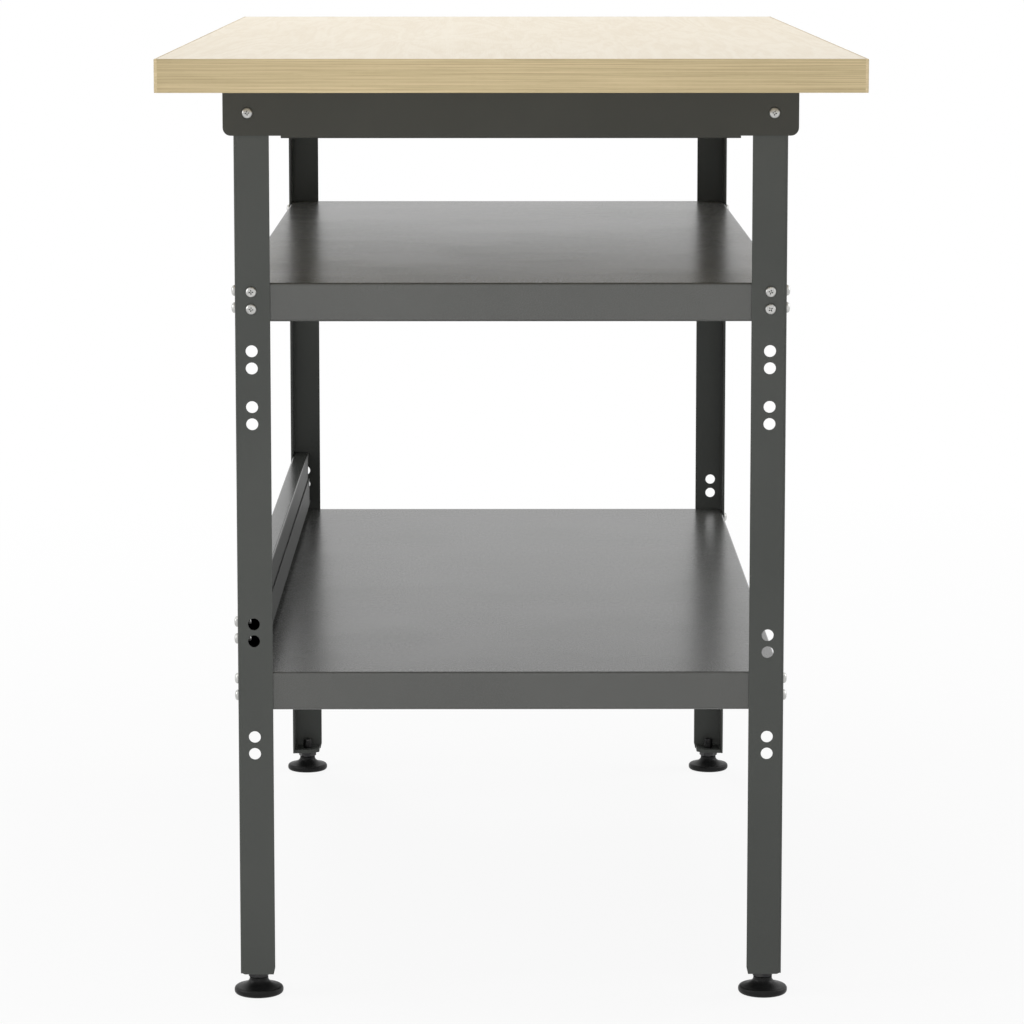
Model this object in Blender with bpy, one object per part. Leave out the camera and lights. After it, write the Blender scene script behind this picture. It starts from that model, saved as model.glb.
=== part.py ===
"""Steel workbench: a wood top, angle legs, two folded shelves, a rear brace and screw feet.

Metres, +Z up. The origin is on the floor below the middle of the top. +X runs along the length
and the front faces -Y, so that left and right are as someone at the front sees them.
"""

import math

import bmesh
import bpy
from mathutils import Matrix, Vector

# Overall size
BENCH_LENGTH = 1.200
BENCH_WIDTH = 0.600
BENCH_HEIGHT = 0.843
END_OVERHANG = 0.123
SIDE_OVERHANG = 0.058

# Clearance between pieces that touch on the real bench
GAP = 0.0003

# Top board
BOARD_THICKNESS = 0.0285
BOARD_EDGE = 0.0010

# Legs
LEG_FLANGE = 0.031
LEG_SHEET = 0.0020
LEG_BEND = 0.0010
LEG_TOE_HEIGHT = 0.011
LEG_TOE_WIDTH = 0.0022
HOLE_INSET = 0.0145
PAIR_PITCH = 0.0152
OPEN_HOLE_RADIUS = 0.0050

# Middle heights of the hole pairs that stay open, and of the pair that takes the brace
HIGH_PAIR = 0.5747
MIDDLE_PAIR = 0.5253
FRONT_BRACE_PAIR = 0.3213
REAR_BRACE_PAIR = 0.3315
LOW_PAIR = 0.2298

# Rails under the top
RAIL_SHEET = 0.0015
RAIL_BEND = 0.0005
RAIL_HEIGHT = 0.0450
RAIL_FLANGE = 0.022
RAIL_LIP = 0.012
RAIL_CORNER = 0.0070
RAIL_RELIEF = 0.0105
RAIL_BOLT_INSET = 0.0125
RAIL_BOLT_DROP = 0.0233
END_RAIL_PROUD = 0.0090

# Shelves
SHELF_SHEET = 0.0012
SHELF_BEND = 0.0012
SHELF_FLANGE = 0.034
SHELF_LIP = 0.010
SHELF_NOTCH = 0.0045
SHELF_BOLT_DROP = 0.0153
UPPER_SHELF_TOP = 0.6423
LOWER_SHELF_TOP = 0.2956

# Rear brace
BRACE_SHEET = 0.0012
BRACE_BEND = 0.0008
BRACE_HEIGHT = 0.057
BRACE_DEPTH = 0.018
BRACE_LEDGE = 0.031
BRACE_LAP = 0.004
BRACE_LAP_GAP = 0.0003
BRACE_LIP_CUT = 0.025

# Bolts and nuts
BOLT_RADIUS = 0.0024
BOLT_CLEARANCE = 0.0005
HEAD_RADIUS = 0.00475
HEAD_CROWN_RADIUS = 0.0026
HEAD_HEIGHT = 0.0034
HEAD_RIM = 0.0012
NUT_FLATS = 0.008
NUT_THICKNESS = 0.004
BOLT_TIP = 0.0034

# Wood screws that hold the board, one piece with the rails' top flanges
SCREW_RADIUS = 0.0020
SCREW_BITE = 0.016
SCREW_POINT = 0.004
SCREW_TIP_RADIUS = 0.0006
SCREW_HEAD_RADIUS = 0.0042
SCREW_HEAD_HEIGHT = 0.0022
SCREW_HOLE_SPARE = 0.0020
END_SCREW_PITCH = 0.260
LONG_SCREW_PITCH = 0.320

# Screw feet
FOOT_INSET = 0.0155
PAD_RADIUS = 0.0220
PAD_RIM_HEIGHT = 0.0066
PAD_RIM_ROUND = 0.0030
PAD_RIM_CHAMFER = 0.0020
PAD_NECK_RADIUS = 0.0084
PAD_NECK_LENGTH = 0.0012
PAD_HEIGHT = 0.0152
PAD_SWEEP_START = 20
PAD_SWEEP_STEPS = 3
PAD_SOCKET_FLOOR = 0.0050
STUD_RADIUS = 0.0049
STUD_CHAMFER = 0.0010
THREAD_PITCH = 0.0015
FOOT_TRAVEL = 0.008
LOCK_NUT_FLATS = 0.017
LOCK_NUT_THICKNESS = 0.005
PLATE_SIDE = 0.027
PLATE_THICKNESS = 0.004
PLATE_CORNER = 0.008
PLATE_WELD = 0.0005

# Sides of the round shapes
OPEN_HOLE_SIDES = 10
BOLT_HOLE_SIDES = 6
SCREW_SIDES = 6
HEAD_SIDES = 12
PAD_SIDES = 18
STUD_SIDES = 12
BEND_STEPS = 3

# Edges that turn by more degrees than this are shaded sharp
SHARP_ANGLE = 38

# How far a cutter reaches past what it cuts
PAST = 0.002

# Sizes that follow from those above
FRAME_X = BENCH_LENGTH / 2 - END_OVERHANG
FRAME_Y = BENCH_WIDTH / 2 - SIDE_OVERHANG
BOARD_UNDERSIDE = BENCH_HEIGHT - BOARD_THICKNESS
RAIL_TOP = BOARD_UNDERSIDE - GAP
LEG_TOP = RAIL_TOP
LEG_INSIDE = LEG_SHEET + GAP
LOCK_NUT_BOTTOM = PAD_HEIGHT + GAP
PLATE_BOTTOM = LOCK_NUT_BOTTOM + LOCK_NUT_THICKNESS + GAP
LEG_BOTTOM = PLATE_BOTTOM
BOLT_HOLE_RADIUS = BOLT_RADIUS + BOLT_CLEARANCE
RAIL_BOLT_HEIGHT = BOARD_UNDERSIDE - RAIL_BOLT_DROP
UPPER_SHELF_PAIR = UPPER_SHELF_TOP - SHELF_BOLT_DROP
LOWER_SHELF_PAIR = LOWER_SHELF_TOP - SHELF_BOLT_DROP

CORNERS = {
    "front_left": (-1, -1),
    "front_right": (1, -1),
    "rear_left": (-1, 1),
    "rear_right": (1, 1),
}


# Building blocks


def clear_scene():
    for obj in list(bpy.data.objects):
        bpy.data.objects.remove(obj)


def make_material(name, colour, roughness, metallic):
    """A Principled material of one plain colour."""
    material = bpy.data.materials.new(name)
    material.use_nodes = True
    shader = material.node_tree.nodes["Principled BSDF"]
    shader.inputs["Base Color"].default_value = (*colour, 1.0)
    shader.inputs["Roughness"].default_value = roughness
    shader.inputs["Metallic"].default_value = metallic
    return material


def place_mesh(name, mesh, location, parent=None):
    obj = bpy.data.objects.new(name, mesh)
    obj.location = location
    obj.parent = parent
    bpy.context.scene.collection.objects.link(obj)
    return obj


def make_mesh(name, bm, material):
    """A mesh with outward faces and smooth round surfaces."""
    bmesh.ops.recalc_face_normals(bm, faces=bm.faces)
    mesh = bpy.data.meshes.new(name)
    bm.to_mesh(mesh)
    bm.free()
    mesh.shade_smooth()
    mesh.set_sharp_from_angle(angle=math.radians(SHARP_ANGLE))
    mesh.materials.append(material)
    return mesh


def make_object(name, bm, material, location=(0, 0, 0), parent=None):
    return place_mesh(name, make_mesh(name, bm, material), location, parent)


def make_empty(name, location=(0, 0, 0), parent=None):
    empty = place_mesh(name, None, location, parent)
    empty.empty_display_size = 0.05
    return empty


def combine(obj, bm, name, operation):
    """Joins the bmesh's solids to the object, or cuts them out of it."""
    bmesh.ops.recalc_face_normals(bm, faces=bm.faces)
    mesh = bpy.data.meshes.new(f"{obj.name}_{name}")
    bm.to_mesh(mesh)
    bm.free()
    helper = place_mesh(f"{obj.name}_{name}", mesh, obj.location, obj.parent)
    helper.hide_render = True
    helper.display_type = "WIRE"
    modifier = obj.modifiers.new(name, "BOOLEAN")
    modifier.operation = operation
    modifier.solver = "EXACT"
    modifier.object = helper


def cut(obj, bm, name="holes"):
    combine(obj, bm, name, "DIFFERENCE")


def join(obj, bm, name):
    combine(obj, bm, name, "UNION")


def arc(centre, radius, start, end, steps):
    """Points round a centre from one angle to another, in degrees, both ends included."""
    points = []
    for step in range(steps + 1):
        angle = math.radians(start + (end - start) * step / steps)
        x = centre[0] + radius * math.cos(angle)
        y = centre[1] + radius * math.sin(angle)
        points.append((x, y))
    return points


def folded_outline(path, sheet, bend):
    """Closed outline of a folded sheet, from its middle line with sharp corners.

    bend is the radius inside each fold.
    """
    points = [Vector(point) for point in path]
    middle_radius = bend + sheet / 2
    samples = []
    for i, point in enumerate(points):
        if i in (0, len(points) - 1):
            along = points[1] - points[0] if i == 0 else points[-1] - points[-2]
            along.normalize()
            samples.append((point, Vector((-along.y, along.x))))
            continue
        arriving = (point - points[i - 1]).normalized()
        leaving = (points[i + 1] - point).normalized()
        turn = math.atan2(arriving.cross(leaving), arriving.dot(leaving))
        side = math.copysign(1, turn)
        normal = Vector((-arriving.y, arriving.x))
        setback = middle_radius * math.tan(abs(turn) / 2)
        centre = point - arriving * setback + normal * side * middle_radius
        for step in range(BEND_STEPS + 1):
            here = Matrix.Rotation(turn * step / BEND_STEPS, 2) @ normal
            samples.append((centre - here * side * middle_radius, here))
    left = [point + normal * sheet / 2 for point, normal in samples]
    right = [point - normal * sheet / 2 for point, normal in samples]
    return [tuple(point) for point in left + right[::-1]]


def add_prism(bm, outline, low, high, to_space):
    """Adds the solid that a flat outline sweeps from low to high."""
    bottom = [bm.verts.new(to_space(u, v, low)) for u, v in outline]
    top = [bm.verts.new(to_space(u, v, high)) for u, v in outline]
    bm.faces.new(bottom)
    bm.faces.new(top)
    for i in range(len(outline)):
        j = (i + 1) % len(outline)
        bm.faces.new((bottom[i], bottom[j], top[j], top[i]))


def add_box(bm, low, high):
    outline = [(low[0], low[1]), (high[0], low[1]), (high[0], high[1]), (low[0], high[1])]
    add_prism(bm, outline, low[2], high[2], lambda u, v, w: (u, v, w))


def round_ring(radius, height, sides):
    ring = []
    for i in range(sides):
        angle = 2 * math.pi * i / sides
        ring.append(Vector((radius * math.cos(angle), radius * math.sin(angle), height)))
    return ring


def hex_ring(flats, height):
    return round_ring(flats / 2 / math.cos(math.radians(30)), height, 6)


def bridge(bm, one, other):
    """Faces between two rings, where one may have twice as many points as the other."""
    many, few = (one, other) if len(one) > len(other) else (other, one)
    ratio = len(many) // len(few)
    for i in range(len(few)):
        j = (i + 1) % len(few)
        run = [many[(ratio * i + k) % len(many)] for k in range(ratio + 1)]
        bm.faces.new(run + [few[j], few[i]])


def add_rings(bm, rings, matrix=Matrix.Identity(4), is_tube=False):
    """Adds the solid whose skin runs over the rings. A tube closes on its first ring."""
    made = [[bm.verts.new(matrix @ point) for point in ring] for ring in rings]
    if is_tube:
        made.append(made[0])
    else:
        bm.faces.new(made[0])
        bm.faces.new(made[-1])
    for one, other in zip(made, made[1:]):
        bridge(bm, one, other)


def add_turned(bm, profile, sides, matrix=Matrix.Identity(4)):
    """Adds a solid of revolution. profile runs along the axis as (radius, height)."""
    add_rings(bm, [round_ring(radius, height, sides) for radius, height in profile], matrix)


def turn_to(direction):
    """The rotation that stands +Z along a direction."""
    return Vector((0, 0, 1)).rotation_difference(Vector(direction))


def add_round_cutter(bm, point, direction, radius, reach, sides=BOLT_HOLE_SIDES):
    """A round cutter that reaches both ways from a point."""
    matrix = Matrix.Translation(Vector(point)) @ turn_to(direction).to_matrix().to_4x4()
    add_turned(bm, [(radius, -reach), (radius, reach)], sides, matrix)


def pair_heights(middle):
    return (middle - PAIR_PITCH / 2, middle + PAIR_PITCH / 2)


# Materials


def paint_material():
    return make_material("grey_paint", (0.095, 0.099, 0.091), 0.45, 0.0)


def shelf_material():
    return make_material("grey_shelf_paint", (0.115, 0.117, 0.110), 0.28, 0.0)


def wood_material():
    return make_material("pale_wood", (0.66, 0.52, 0.32), 0.45, 0.0)


def zinc_material():
    return make_material("zinc", (0.62, 0.62, 0.60), 0.30, 1.0)


def stud_material():
    return make_material("black_steel", (0.045, 0.045, 0.047), 0.34, 1.0)


def foot_material():
    return make_material("black_plastic", (0.012, 0.012, 0.012), 0.42, 0.0)


# Top board


def end_screw_places(end):
    """Where screws come up through the top flange of an end rail."""
    x = end * (FRAME_X - RAIL_FLANGE / 2)
    return [(x, step * END_SCREW_PITCH) for step in (-0.5, 0.5)]


def long_screw_places(side):
    """Where screws come up through the top flange of a long rail."""
    y = side * (FRAME_Y - RAIL_FLANGE / 2)
    return [(step * LONG_SCREW_PITCH, y) for step in (-1, 0, 1)]


def add_screws(bm, places, base):
    """Wood screws with their heads under the top flange. base is where the rail stands."""
    flange_underside = RAIL_HEIGHT - RAIL_SHEET
    point = BOARD_UNDERSIDE - base + SCREW_BITE
    profile = [
        (SCREW_HEAD_RADIUS - SCREW_HEAD_HEIGHT, flange_underside - SCREW_HEAD_HEIGHT),
        (SCREW_HEAD_RADIUS, flange_underside - SCREW_HEAD_HEIGHT / 2),
        (SCREW_HEAD_RADIUS, flange_underside + RAIL_SHEET / 2),
        (SCREW_RADIUS, flange_underside + RAIL_SHEET / 2),
        (SCREW_RADIUS, point - SCREW_POINT),
        (SCREW_TIP_RADIUS, point),
    ]
    for x, y in places:
        add_turned(bm, profile, SCREW_SIDES, Matrix.Translation((x, y, 0)))


def make_board(material, parent):
    bm = bmesh.new()
    low = (-BENCH_LENGTH / 2, -BENCH_WIDTH / 2, BOARD_UNDERSIDE)
    high = (BENCH_LENGTH / 2, BENCH_WIDTH / 2, BENCH_HEIGHT)
    add_box(bm, low, high)
    bmesh.ops.bevel(
        bm,
        geom=bm.edges[:],
        offset=BOARD_EDGE,
        segments=2,
        profile=0.5,
        affect="EDGES",
    )
    board = make_object("top_board", bm, material, parent=parent)
    holes = bmesh.new()
    radius = SCREW_RADIUS + GAP
    reach = SCREW_BITE + SCREW_HOLE_SPARE
    for side in (-1, 1):
        for x, y in end_screw_places(side) + long_screw_places(side):
            place = (x, y, BOARD_UNDERSIDE)
            add_round_cutter(holes, place, (0, 0, 1), radius, reach, SCREW_SIDES)
    cut(board, holes, "screw_holes")


# Rails under the top


def rail_outline():
    """Section of a rail: depth inward from its outer face, height up from its lip."""
    middle = RAIL_SHEET / 2
    path = [
        (RAIL_LIP, middle),
        (middle, middle),
        (middle, RAIL_HEIGHT - middle),
        (RAIL_FLANGE, RAIL_HEIGHT - middle),
    ]
    return folded_outline(path, RAIL_SHEET, RAIL_BEND)


def rail_end_cutters(bm, half_length, flange_half_length, corner, to_space):
    """Cuts flange and lip back from the legs and rounds the web's lower corners."""
    fold = RAIL_SHEET + 2 * RAIL_BEND
    end = half_length + PAST
    below = -PAST
    above = RAIL_HEIGHT + PAST
    depth = RAIL_FLANGE + PAST
    for side in (-1, 1):
        lower = [(flange_half_length, below), (flange_half_length, fold)]
        lower += arc((half_length - corner, fold + corner), corner, -90, 0, 5)
        lower += [(end, fold + corner), (end, below)]
        upper = [
            (flange_half_length, RAIL_HEIGHT - fold),
            (end, RAIL_HEIGHT - fold),
            (end, above),
            (flange_half_length, above),
        ]
        for outline in (lower, upper):
            mirrored = [(side * a, h) for a, h in outline]
            add_prism(bm, mirrored, -PAST, depth, to_space)


def make_end_rail(name, end, material, parent):
    """A rail across the bench. end is -1 or 1. It covers the ends of the long rails."""
    half_length = FRAME_Y + END_RAIL_PROUD
    flange_half_length = FRAME_Y - LEG_FLANGE - RAIL_RELIEF
    outer_face = FRAME_X + GAP + RAIL_SHEET
    base = RAIL_TOP - RAIL_HEIGHT

    def section(depth, height, across):
        return (-end * depth, across, height)

    def face(across, height, depth):
        return (-end * depth, across, height)

    bm = bmesh.new()
    add_prism(bm, rail_outline(), -half_length, half_length, section)
    rail = make_object(name, bm, material, (end * outer_face, 0, base), parent)
    ends = bmesh.new()
    rail_end_cutters(ends, half_length, flange_half_length, RAIL_CORNER, face)
    cut(rail, ends, "ends")
    holes = bmesh.new()
    bolt_height = RAIL_BOLT_HEIGHT - base
    for side in (-1, 1):
        bolt = (0, side * (FRAME_Y - RAIL_BOLT_INSET), bolt_height)
        add_round_cutter(holes, bolt, (1, 0, 0), BOLT_HOLE_RADIUS, RAIL_SHEET + PAST)
    cut(rail, holes)
    screws = bmesh.new()
    places = [(x - end * outer_face, y) for x, y in end_screw_places(end)]
    add_screws(screws, places, base)
    join(rail, screws, "board_screws")


def make_long_rail(name, side, material, parent):
    """A rail along the front or the rear. side is -1 or 1."""
    half_length = FRAME_X - GAP / 2
    flange_half_length = FRAME_X - LEG_FLANGE - RAIL_RELIEF
    outer_face = FRAME_Y + GAP + RAIL_SHEET
    base = RAIL_TOP - RAIL_HEIGHT

    def section(depth, height, lengthwise):
        return (lengthwise, -side * depth, height)

    def face(lengthwise, height, depth):
        return (lengthwise, -side * depth, height)

    bm = bmesh.new()
    add_prism(bm, rail_outline(), -half_length, half_length, section)
    rail = make_object(name, bm, material, (0, side * outer_face, base), parent)
    ends = bmesh.new()
    rail_end_cutters(ends, half_length, flange_half_length, RAIL_CORNER, face)
    cut(rail, ends, "ends")
    holes = bmesh.new()
    bolt_height = RAIL_BOLT_HEIGHT - base
    for end in (-1, 1):
        bolt = (end * (FRAME_X - RAIL_BOLT_INSET), 0, bolt_height)
        add_round_cutter(holes, bolt, (0, 1, 0), BOLT_HOLE_RADIUS, RAIL_SHEET + PAST)
    cut(rail, holes)
    screws = bmesh.new()
    places = [(x, y - side * outer_face) for x, y in long_screw_places(side)]
    add_screws(screws, places, base)
    join(rail, screws, "board_screws")


# Legs


def leg_holes(is_rear):
    """(height, distance from the corner, radius) of the holes on each flange of a leg."""
    brace_pair = REAR_BRACE_PAIR if is_rear else FRONT_BRACE_PAIR
    open_pairs = (HIGH_PAIR, MIDDLE_PAIR, LOW_PAIR)
    end_flange = [(RAIL_BOLT_HEIGHT, RAIL_BOLT_INSET, BOLT_HOLE_RADIUS)]
    side_flange = list(end_flange)
    for height in pair_heights(UPPER_SHELF_PAIR):
        end_flange.append((height, HOLE_INSET, BOLT_HOLE_RADIUS))
        side_flange.append((height, HOLE_INSET, BOLT_HOLE_RADIUS))
    for height in pair_heights(LOWER_SHELF_PAIR):
        side_flange.append((height, HOLE_INSET, BOLT_HOLE_RADIUS))
    for middle in open_pairs:
        for height in pair_heights(middle):
            end_flange.append((height, HOLE_INSET, OPEN_HOLE_RADIUS))
            side_flange.append((height, HOLE_INSET, OPEN_HOLE_RADIUS))
    for height in pair_heights(brace_pair):
        end_flange.append((height, HOLE_INSET, OPEN_HOLE_RADIUS))
        side_radius = BOLT_HOLE_RADIUS if is_rear else OPEN_HOLE_RADIUS
        side_flange.append((height, HOLE_INSET, side_radius))
    return end_flange, side_flange


def hole_sides(radius):
    return OPEN_HOLE_SIDES if radius > BOLT_HOLE_RADIUS else BOLT_HOLE_SIDES


def plate_outline():
    """The tapped plate that is welded into the bottom of a leg."""
    low = LEG_SHEET - PLATE_WELD
    high = LEG_SHEET + PLATE_SIDE
    return [
        (low, low),
        (high, low),
        (high, high - PLATE_CORNER),
        (high - PLATE_CORNER, high),
        (low, high),
    ]


def make_leg(corner, material, parent):
    """A folded angle with its foot plate. Its outer corner is at the object's origin."""
    end, side = CORNERS[corner]
    middle = LEG_SHEET / 2
    path = [(LEG_FLANGE, middle), (middle, middle), (middle, LEG_FLANGE)]
    outline = folded_outline(path, LEG_SHEET, LEG_BEND)

    def section(x, y, height):
        return (-end * x, -side * y, height)

    def end_face(across, height, depth):
        return (-end * depth, -side * across, height)

    def side_face(lengthwise, height, depth):
        return (-end * lengthwise, -side * depth, height)

    bm = bmesh.new()
    add_prism(bm, outline, LEG_BOTTOM, LEG_TOP, section)
    location = (end * FRAME_X, side * FRAME_Y, 0)
    leg = make_object(f"{corner}_leg", bm, material, location, parent)
    plate = bmesh.new()
    plate_top = PLATE_BOTTOM + PLATE_THICKNESS
    add_prism(plate, plate_outline(), PLATE_BOTTOM, plate_top, section)
    join(leg, plate, "foot_plate")
    holes = bmesh.new()
    axis = (-end * FOOT_INSET, -side * FOOT_INSET, plate_top)
    tapped_radius = STUD_RADIUS + 2 * GAP
    add_round_cutter(holes, axis, (0, 0, 1), tapped_radius, 2 * PLATE_THICKNESS, STUD_SIDES)
    end_flange, side_flange = leg_holes(side > 0)
    reach = LEG_SHEET + PAST
    for height, inset, radius in end_flange:
        sides = hole_sides(radius)
        add_round_cutter(holes, (0, -side * inset, height), (1, 0, 0), radius, reach, sides)
    for height, inset, radius in side_flange:
        sides = hole_sides(radius)
        add_round_cutter(holes, (-end * inset, 0, height), (0, 1, 0), radius, reach, sides)
    toe = [
        (LEG_FLANGE - LEG_TOE_WIDTH, LEG_BOTTOM - PAST),
        (LEG_FLANGE - LEG_TOE_WIDTH, LEG_BOTTOM),
        (LEG_FLANGE, LEG_BOTTOM + LEG_TOE_HEIGHT),
        (LEG_FLANGE + PAST, LEG_BOTTOM + LEG_TOE_HEIGHT),
        (LEG_FLANGE + PAST, LEG_BOTTOM - PAST),
    ]
    for face in (end_face, side_face):
        add_prism(holes, toe, -PAST, LEG_SHEET + PAST, face)
    cut(leg, holes)


# Shelves


def shelf_outline():
    """Edge section of a shelf: distance in from its outer face, height above its lip."""
    middle = SHELF_SHEET / 2
    path = [
        (2 * SHELF_LIP, SHELF_FLANGE - middle),
        (middle, SHELF_FLANGE - middle),
        (middle, middle),
        (SHELF_LIP, middle),
    ]
    outline = folded_outline(path, SHELF_SHEET, SHELF_BEND)
    return outline


def make_shelf(name, top, has_end_bolts, material, parent):
    """A folded tray. Its flanges bolt to the inner faces of the legs."""
    half_x = FRAME_X - LEG_INSIDE
    half_y = FRAME_Y - LEG_INSIDE
    base = top - SHELF_FLANGE
    bm = bmesh.new()
    rings = []
    for inset, height in shelf_outline():
        ring = []
        for end, side in ((-1, -1), (1, -1), (1, 1), (-1, 1)):
            point = (end * (half_x - inset), side * (half_y - inset), height)
            ring.append(bm.verts.new(point))
        rings.append(ring)
    bm.faces.new(rings[0])
    bm.faces.new(rings[-1])
    for outer, inner in zip(rings, rings[1:]):
        for i in range(4):
            j = (i + 1) % 4
            bm.faces.new((outer[i], outer[j], inner[j], inner[i]))
    shelf = make_object(name, bm, material, (0, 0, base), parent)

    fold = SHELF_SHEET + SHELF_BEND
    reliefs = ((SHELF_LIP + PAST, -PAST, fold), (SHELF_NOTCH, fold / 2, SHELF_FLANGE + PAST))
    for index, (size, low, high) in enumerate(reliefs):
        notches = bmesh.new()
        for end, side in CORNERS.values():
            near = (end * (half_x - size), side * (half_y - size))
            far = (end * (half_x + PAST), side * (half_y + PAST))
            low_corner = (min(near[0], far[0]), min(near[1], far[1]), low)
            high_corner = (max(near[0], far[0]), max(near[1], far[1]), high)
            add_box(notches, low_corner, high_corner)
        cut(shelf, notches, f"notches_{index}")

    holes = bmesh.new()
    reach = SHELF_SHEET + PAST
    for end, side in CORNERS.values():
        for height in pair_heights(top - SHELF_BOLT_DROP - base):
            beside = (end * (FRAME_X - HOLE_INSET), side * half_y, height)
            add_round_cutter(holes, beside, (0, 1, 0), BOLT_HOLE_RADIUS, reach)
            if has_end_bolts:
                across = (end * half_x, side * (FRAME_Y - HOLE_INSET), height)
                add_round_cutter(holes, across, (1, 0, 0), BOLT_HOLE_RADIUS, reach)
    cut(shelf, holes)


# Rear brace


def brace_outline():
    """Section of the brace: depth in from the legs, height above its underside.

    The sheet runs down behind the ledge, round the web and up again to the ledge.
    """
    middle = BRACE_SHEET / 2
    front = BRACE_DEPTH - middle
    behind = front - BRACE_SHEET - BRACE_LAP_GAP
    path = [
        (behind, BRACE_LEDGE - BRACE_LAP),
        (behind, BRACE_HEIGHT - middle),
        (middle, BRACE_HEIGHT - middle),
        (middle, middle),
        (front, middle),
        (front, BRACE_LEDGE),
    ]
    return folded_outline(path, BRACE_SHEET, BRACE_BEND)


def make_brace(material, parent):
    """The channel between the rear legs, just above the lower shelf."""
    half_length = FRAME_X - LEG_INSIDE - LEG_BEND
    base = REAR_BRACE_PAIR - BRACE_HEIGHT / 2

    def section(depth, height, lengthwise):
        return (lengthwise, -depth, height)

    bm = bmesh.new()
    add_prism(bm, brace_outline(), -half_length, half_length, section)
    location = (0, FRAME_Y - LEG_INSIDE, base)
    brace = make_object("rear_brace", bm, material, location, parent)

    lips = bmesh.new()
    fold = BRACE_SHEET + 2 * BRACE_BEND
    lip_depth = BRACE_DEPTH - 2 * BRACE_SHEET - BRACE_LAP_GAP - BRACE_BEND / 2
    for end in (-1, 1):
        start = end * (half_length - BRACE_LIP_CUT)
        finish = end * (half_length + PAST)
        low = (min(start, finish), -BRACE_DEPTH - PAST, fold)
        high = (max(start, finish), -lip_depth, BRACE_HEIGHT - fold)
        add_box(lips, low, high)
    cut(brace, lips, "lip_ends")

    holes = bmesh.new()
    for end in (-1, 1):
        for height in pair_heights(REAR_BRACE_PAIR - base):
            bolt = (end * (FRAME_X - HOLE_INSET), 0, height)
            add_round_cutter(holes, bolt, (0, 1, 0), BOLT_HOLE_RADIUS, BRACE_SHEET + PAST)
    cut(brace, holes)


# Bolts with their nuts


def bolt_mesh(name, grip, material):
    """A pan head bolt with its nut run on. grip is the thickness between head and nut.

    The head's seat is at the origin and the bolt points along +Z.
    """
    nut = grip + GAP
    tip = nut + NUT_THICKNESS
    rings = [
        round_ring(HEAD_CROWN_RADIUS, -GAP - HEAD_HEIGHT, HEAD_SIDES),
        round_ring(HEAD_RADIUS, -GAP - HEAD_RIM, HEAD_SIDES),
        round_ring(HEAD_RADIUS, -GAP, HEAD_SIDES),
        round_ring(BOLT_RADIUS, -GAP, BOLT_HOLE_SIDES),
        round_ring(BOLT_RADIUS, nut, BOLT_HOLE_SIDES),
        hex_ring(NUT_FLATS, nut),
        hex_ring(NUT_FLATS, tip),
        round_ring(BOLT_RADIUS, tip, BOLT_HOLE_SIDES),
        round_ring(BOLT_RADIUS, tip + BOLT_TIP, BOLT_HOLE_SIDES),
    ]
    bm = bmesh.new()
    add_rings(bm, rings)
    return make_mesh(name, bm, material)


def make_bolts(name, grip, height_names, inset, outer, on_ends, corners, material, parent):
    """Bolts at each corner, through the leg's end flange or its side flange.

    outer is how far their seats stand outside the leg.
    """
    mesh = bolt_mesh(f"{name}_bolt", grip, material)
    for corner in corners:
        end, side = CORNERS[corner]
        for height_name, height in height_names.items():
            if on_ends:
                place = (end * (FRAME_X + outer), side * (FRAME_Y - inset), height)
                inward = (-end, 0, 0)
            else:
                place = (end * (FRAME_X - inset), side * (FRAME_Y + outer), height)
                inward = (0, -side, 0)
            bolt = place_mesh(f"{corner}_{name}_bolt{height_name}", mesh, place, parent)
            bolt.rotation_mode = "QUATERNION"
            bolt.rotation_quaternion = turn_to(inward)


def pair_names(middle):
    low, high = pair_heights(middle)
    return {"_low": low, "_high": high}


def make_all_bolts(zinc, parent):
    rail_outer = GAP + RAIL_SHEET
    rail_grip = RAIL_SHEET + GAP + LEG_SHEET
    shelf_grip = LEG_SHEET + GAP + SHELF_SHEET
    brace_grip = LEG_SHEET + GAP + BRACE_SHEET
    rail = {"": RAIL_BOLT_HEIGHT}
    upper = pair_names(UPPER_SHELF_PAIR)
    lower = pair_names(LOWER_SHELF_PAIR)
    brace = pair_names(REAR_BRACE_PAIR)
    rear = [corner for corner, (_, side) in CORNERS.items() if side > 0]
    inset = RAIL_BOLT_INSET
    make_bolts("end_rail", rail_grip, rail, inset, rail_outer, True, CORNERS, zinc, parent)
    make_bolts("long_rail", rail_grip, rail, inset, rail_outer, False, CORNERS, zinc, parent)
    inset = HOLE_INSET
    make_bolts("upper_shelf_end", shelf_grip, upper, inset, 0, True, CORNERS, zinc, parent)
    make_bolts("upper_shelf_side", shelf_grip, upper, inset, 0, False, CORNERS, zinc, parent)
    make_bolts("lower_shelf", shelf_grip, lower, inset, 0, False, CORNERS, zinc, parent)
    make_bolts("brace", brace_grip, brace, inset, 0, False, rear, zinc, parent)


# Screw feet


def pad_sweep():
    """The hollow curve from the pad's rim up to its neck."""
    rim_radius = PAD_RADIUS - PAD_RIM_ROUND / 2
    neck_height = PAD_HEIGHT - PAD_NECK_LENGTH
    first = math.radians(PAD_SWEEP_START)
    points = []
    for step in range(1, PAD_SWEEP_STEPS + 1):
        angle = first + (math.pi / 2 - first) * step / PAD_SWEEP_STEPS
        inward = (math.sin(angle) - math.sin(first)) / (1 - math.sin(first))
        upward = (math.cos(first) - math.cos(angle)) / math.cos(first)
        radius = rim_radius + (PAD_NECK_RADIUS - rim_radius) * inward
        points.append((radius, PAD_RIM_HEIGHT + (neck_height - PAD_RIM_HEIGHT) * upward))
    return points


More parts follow.
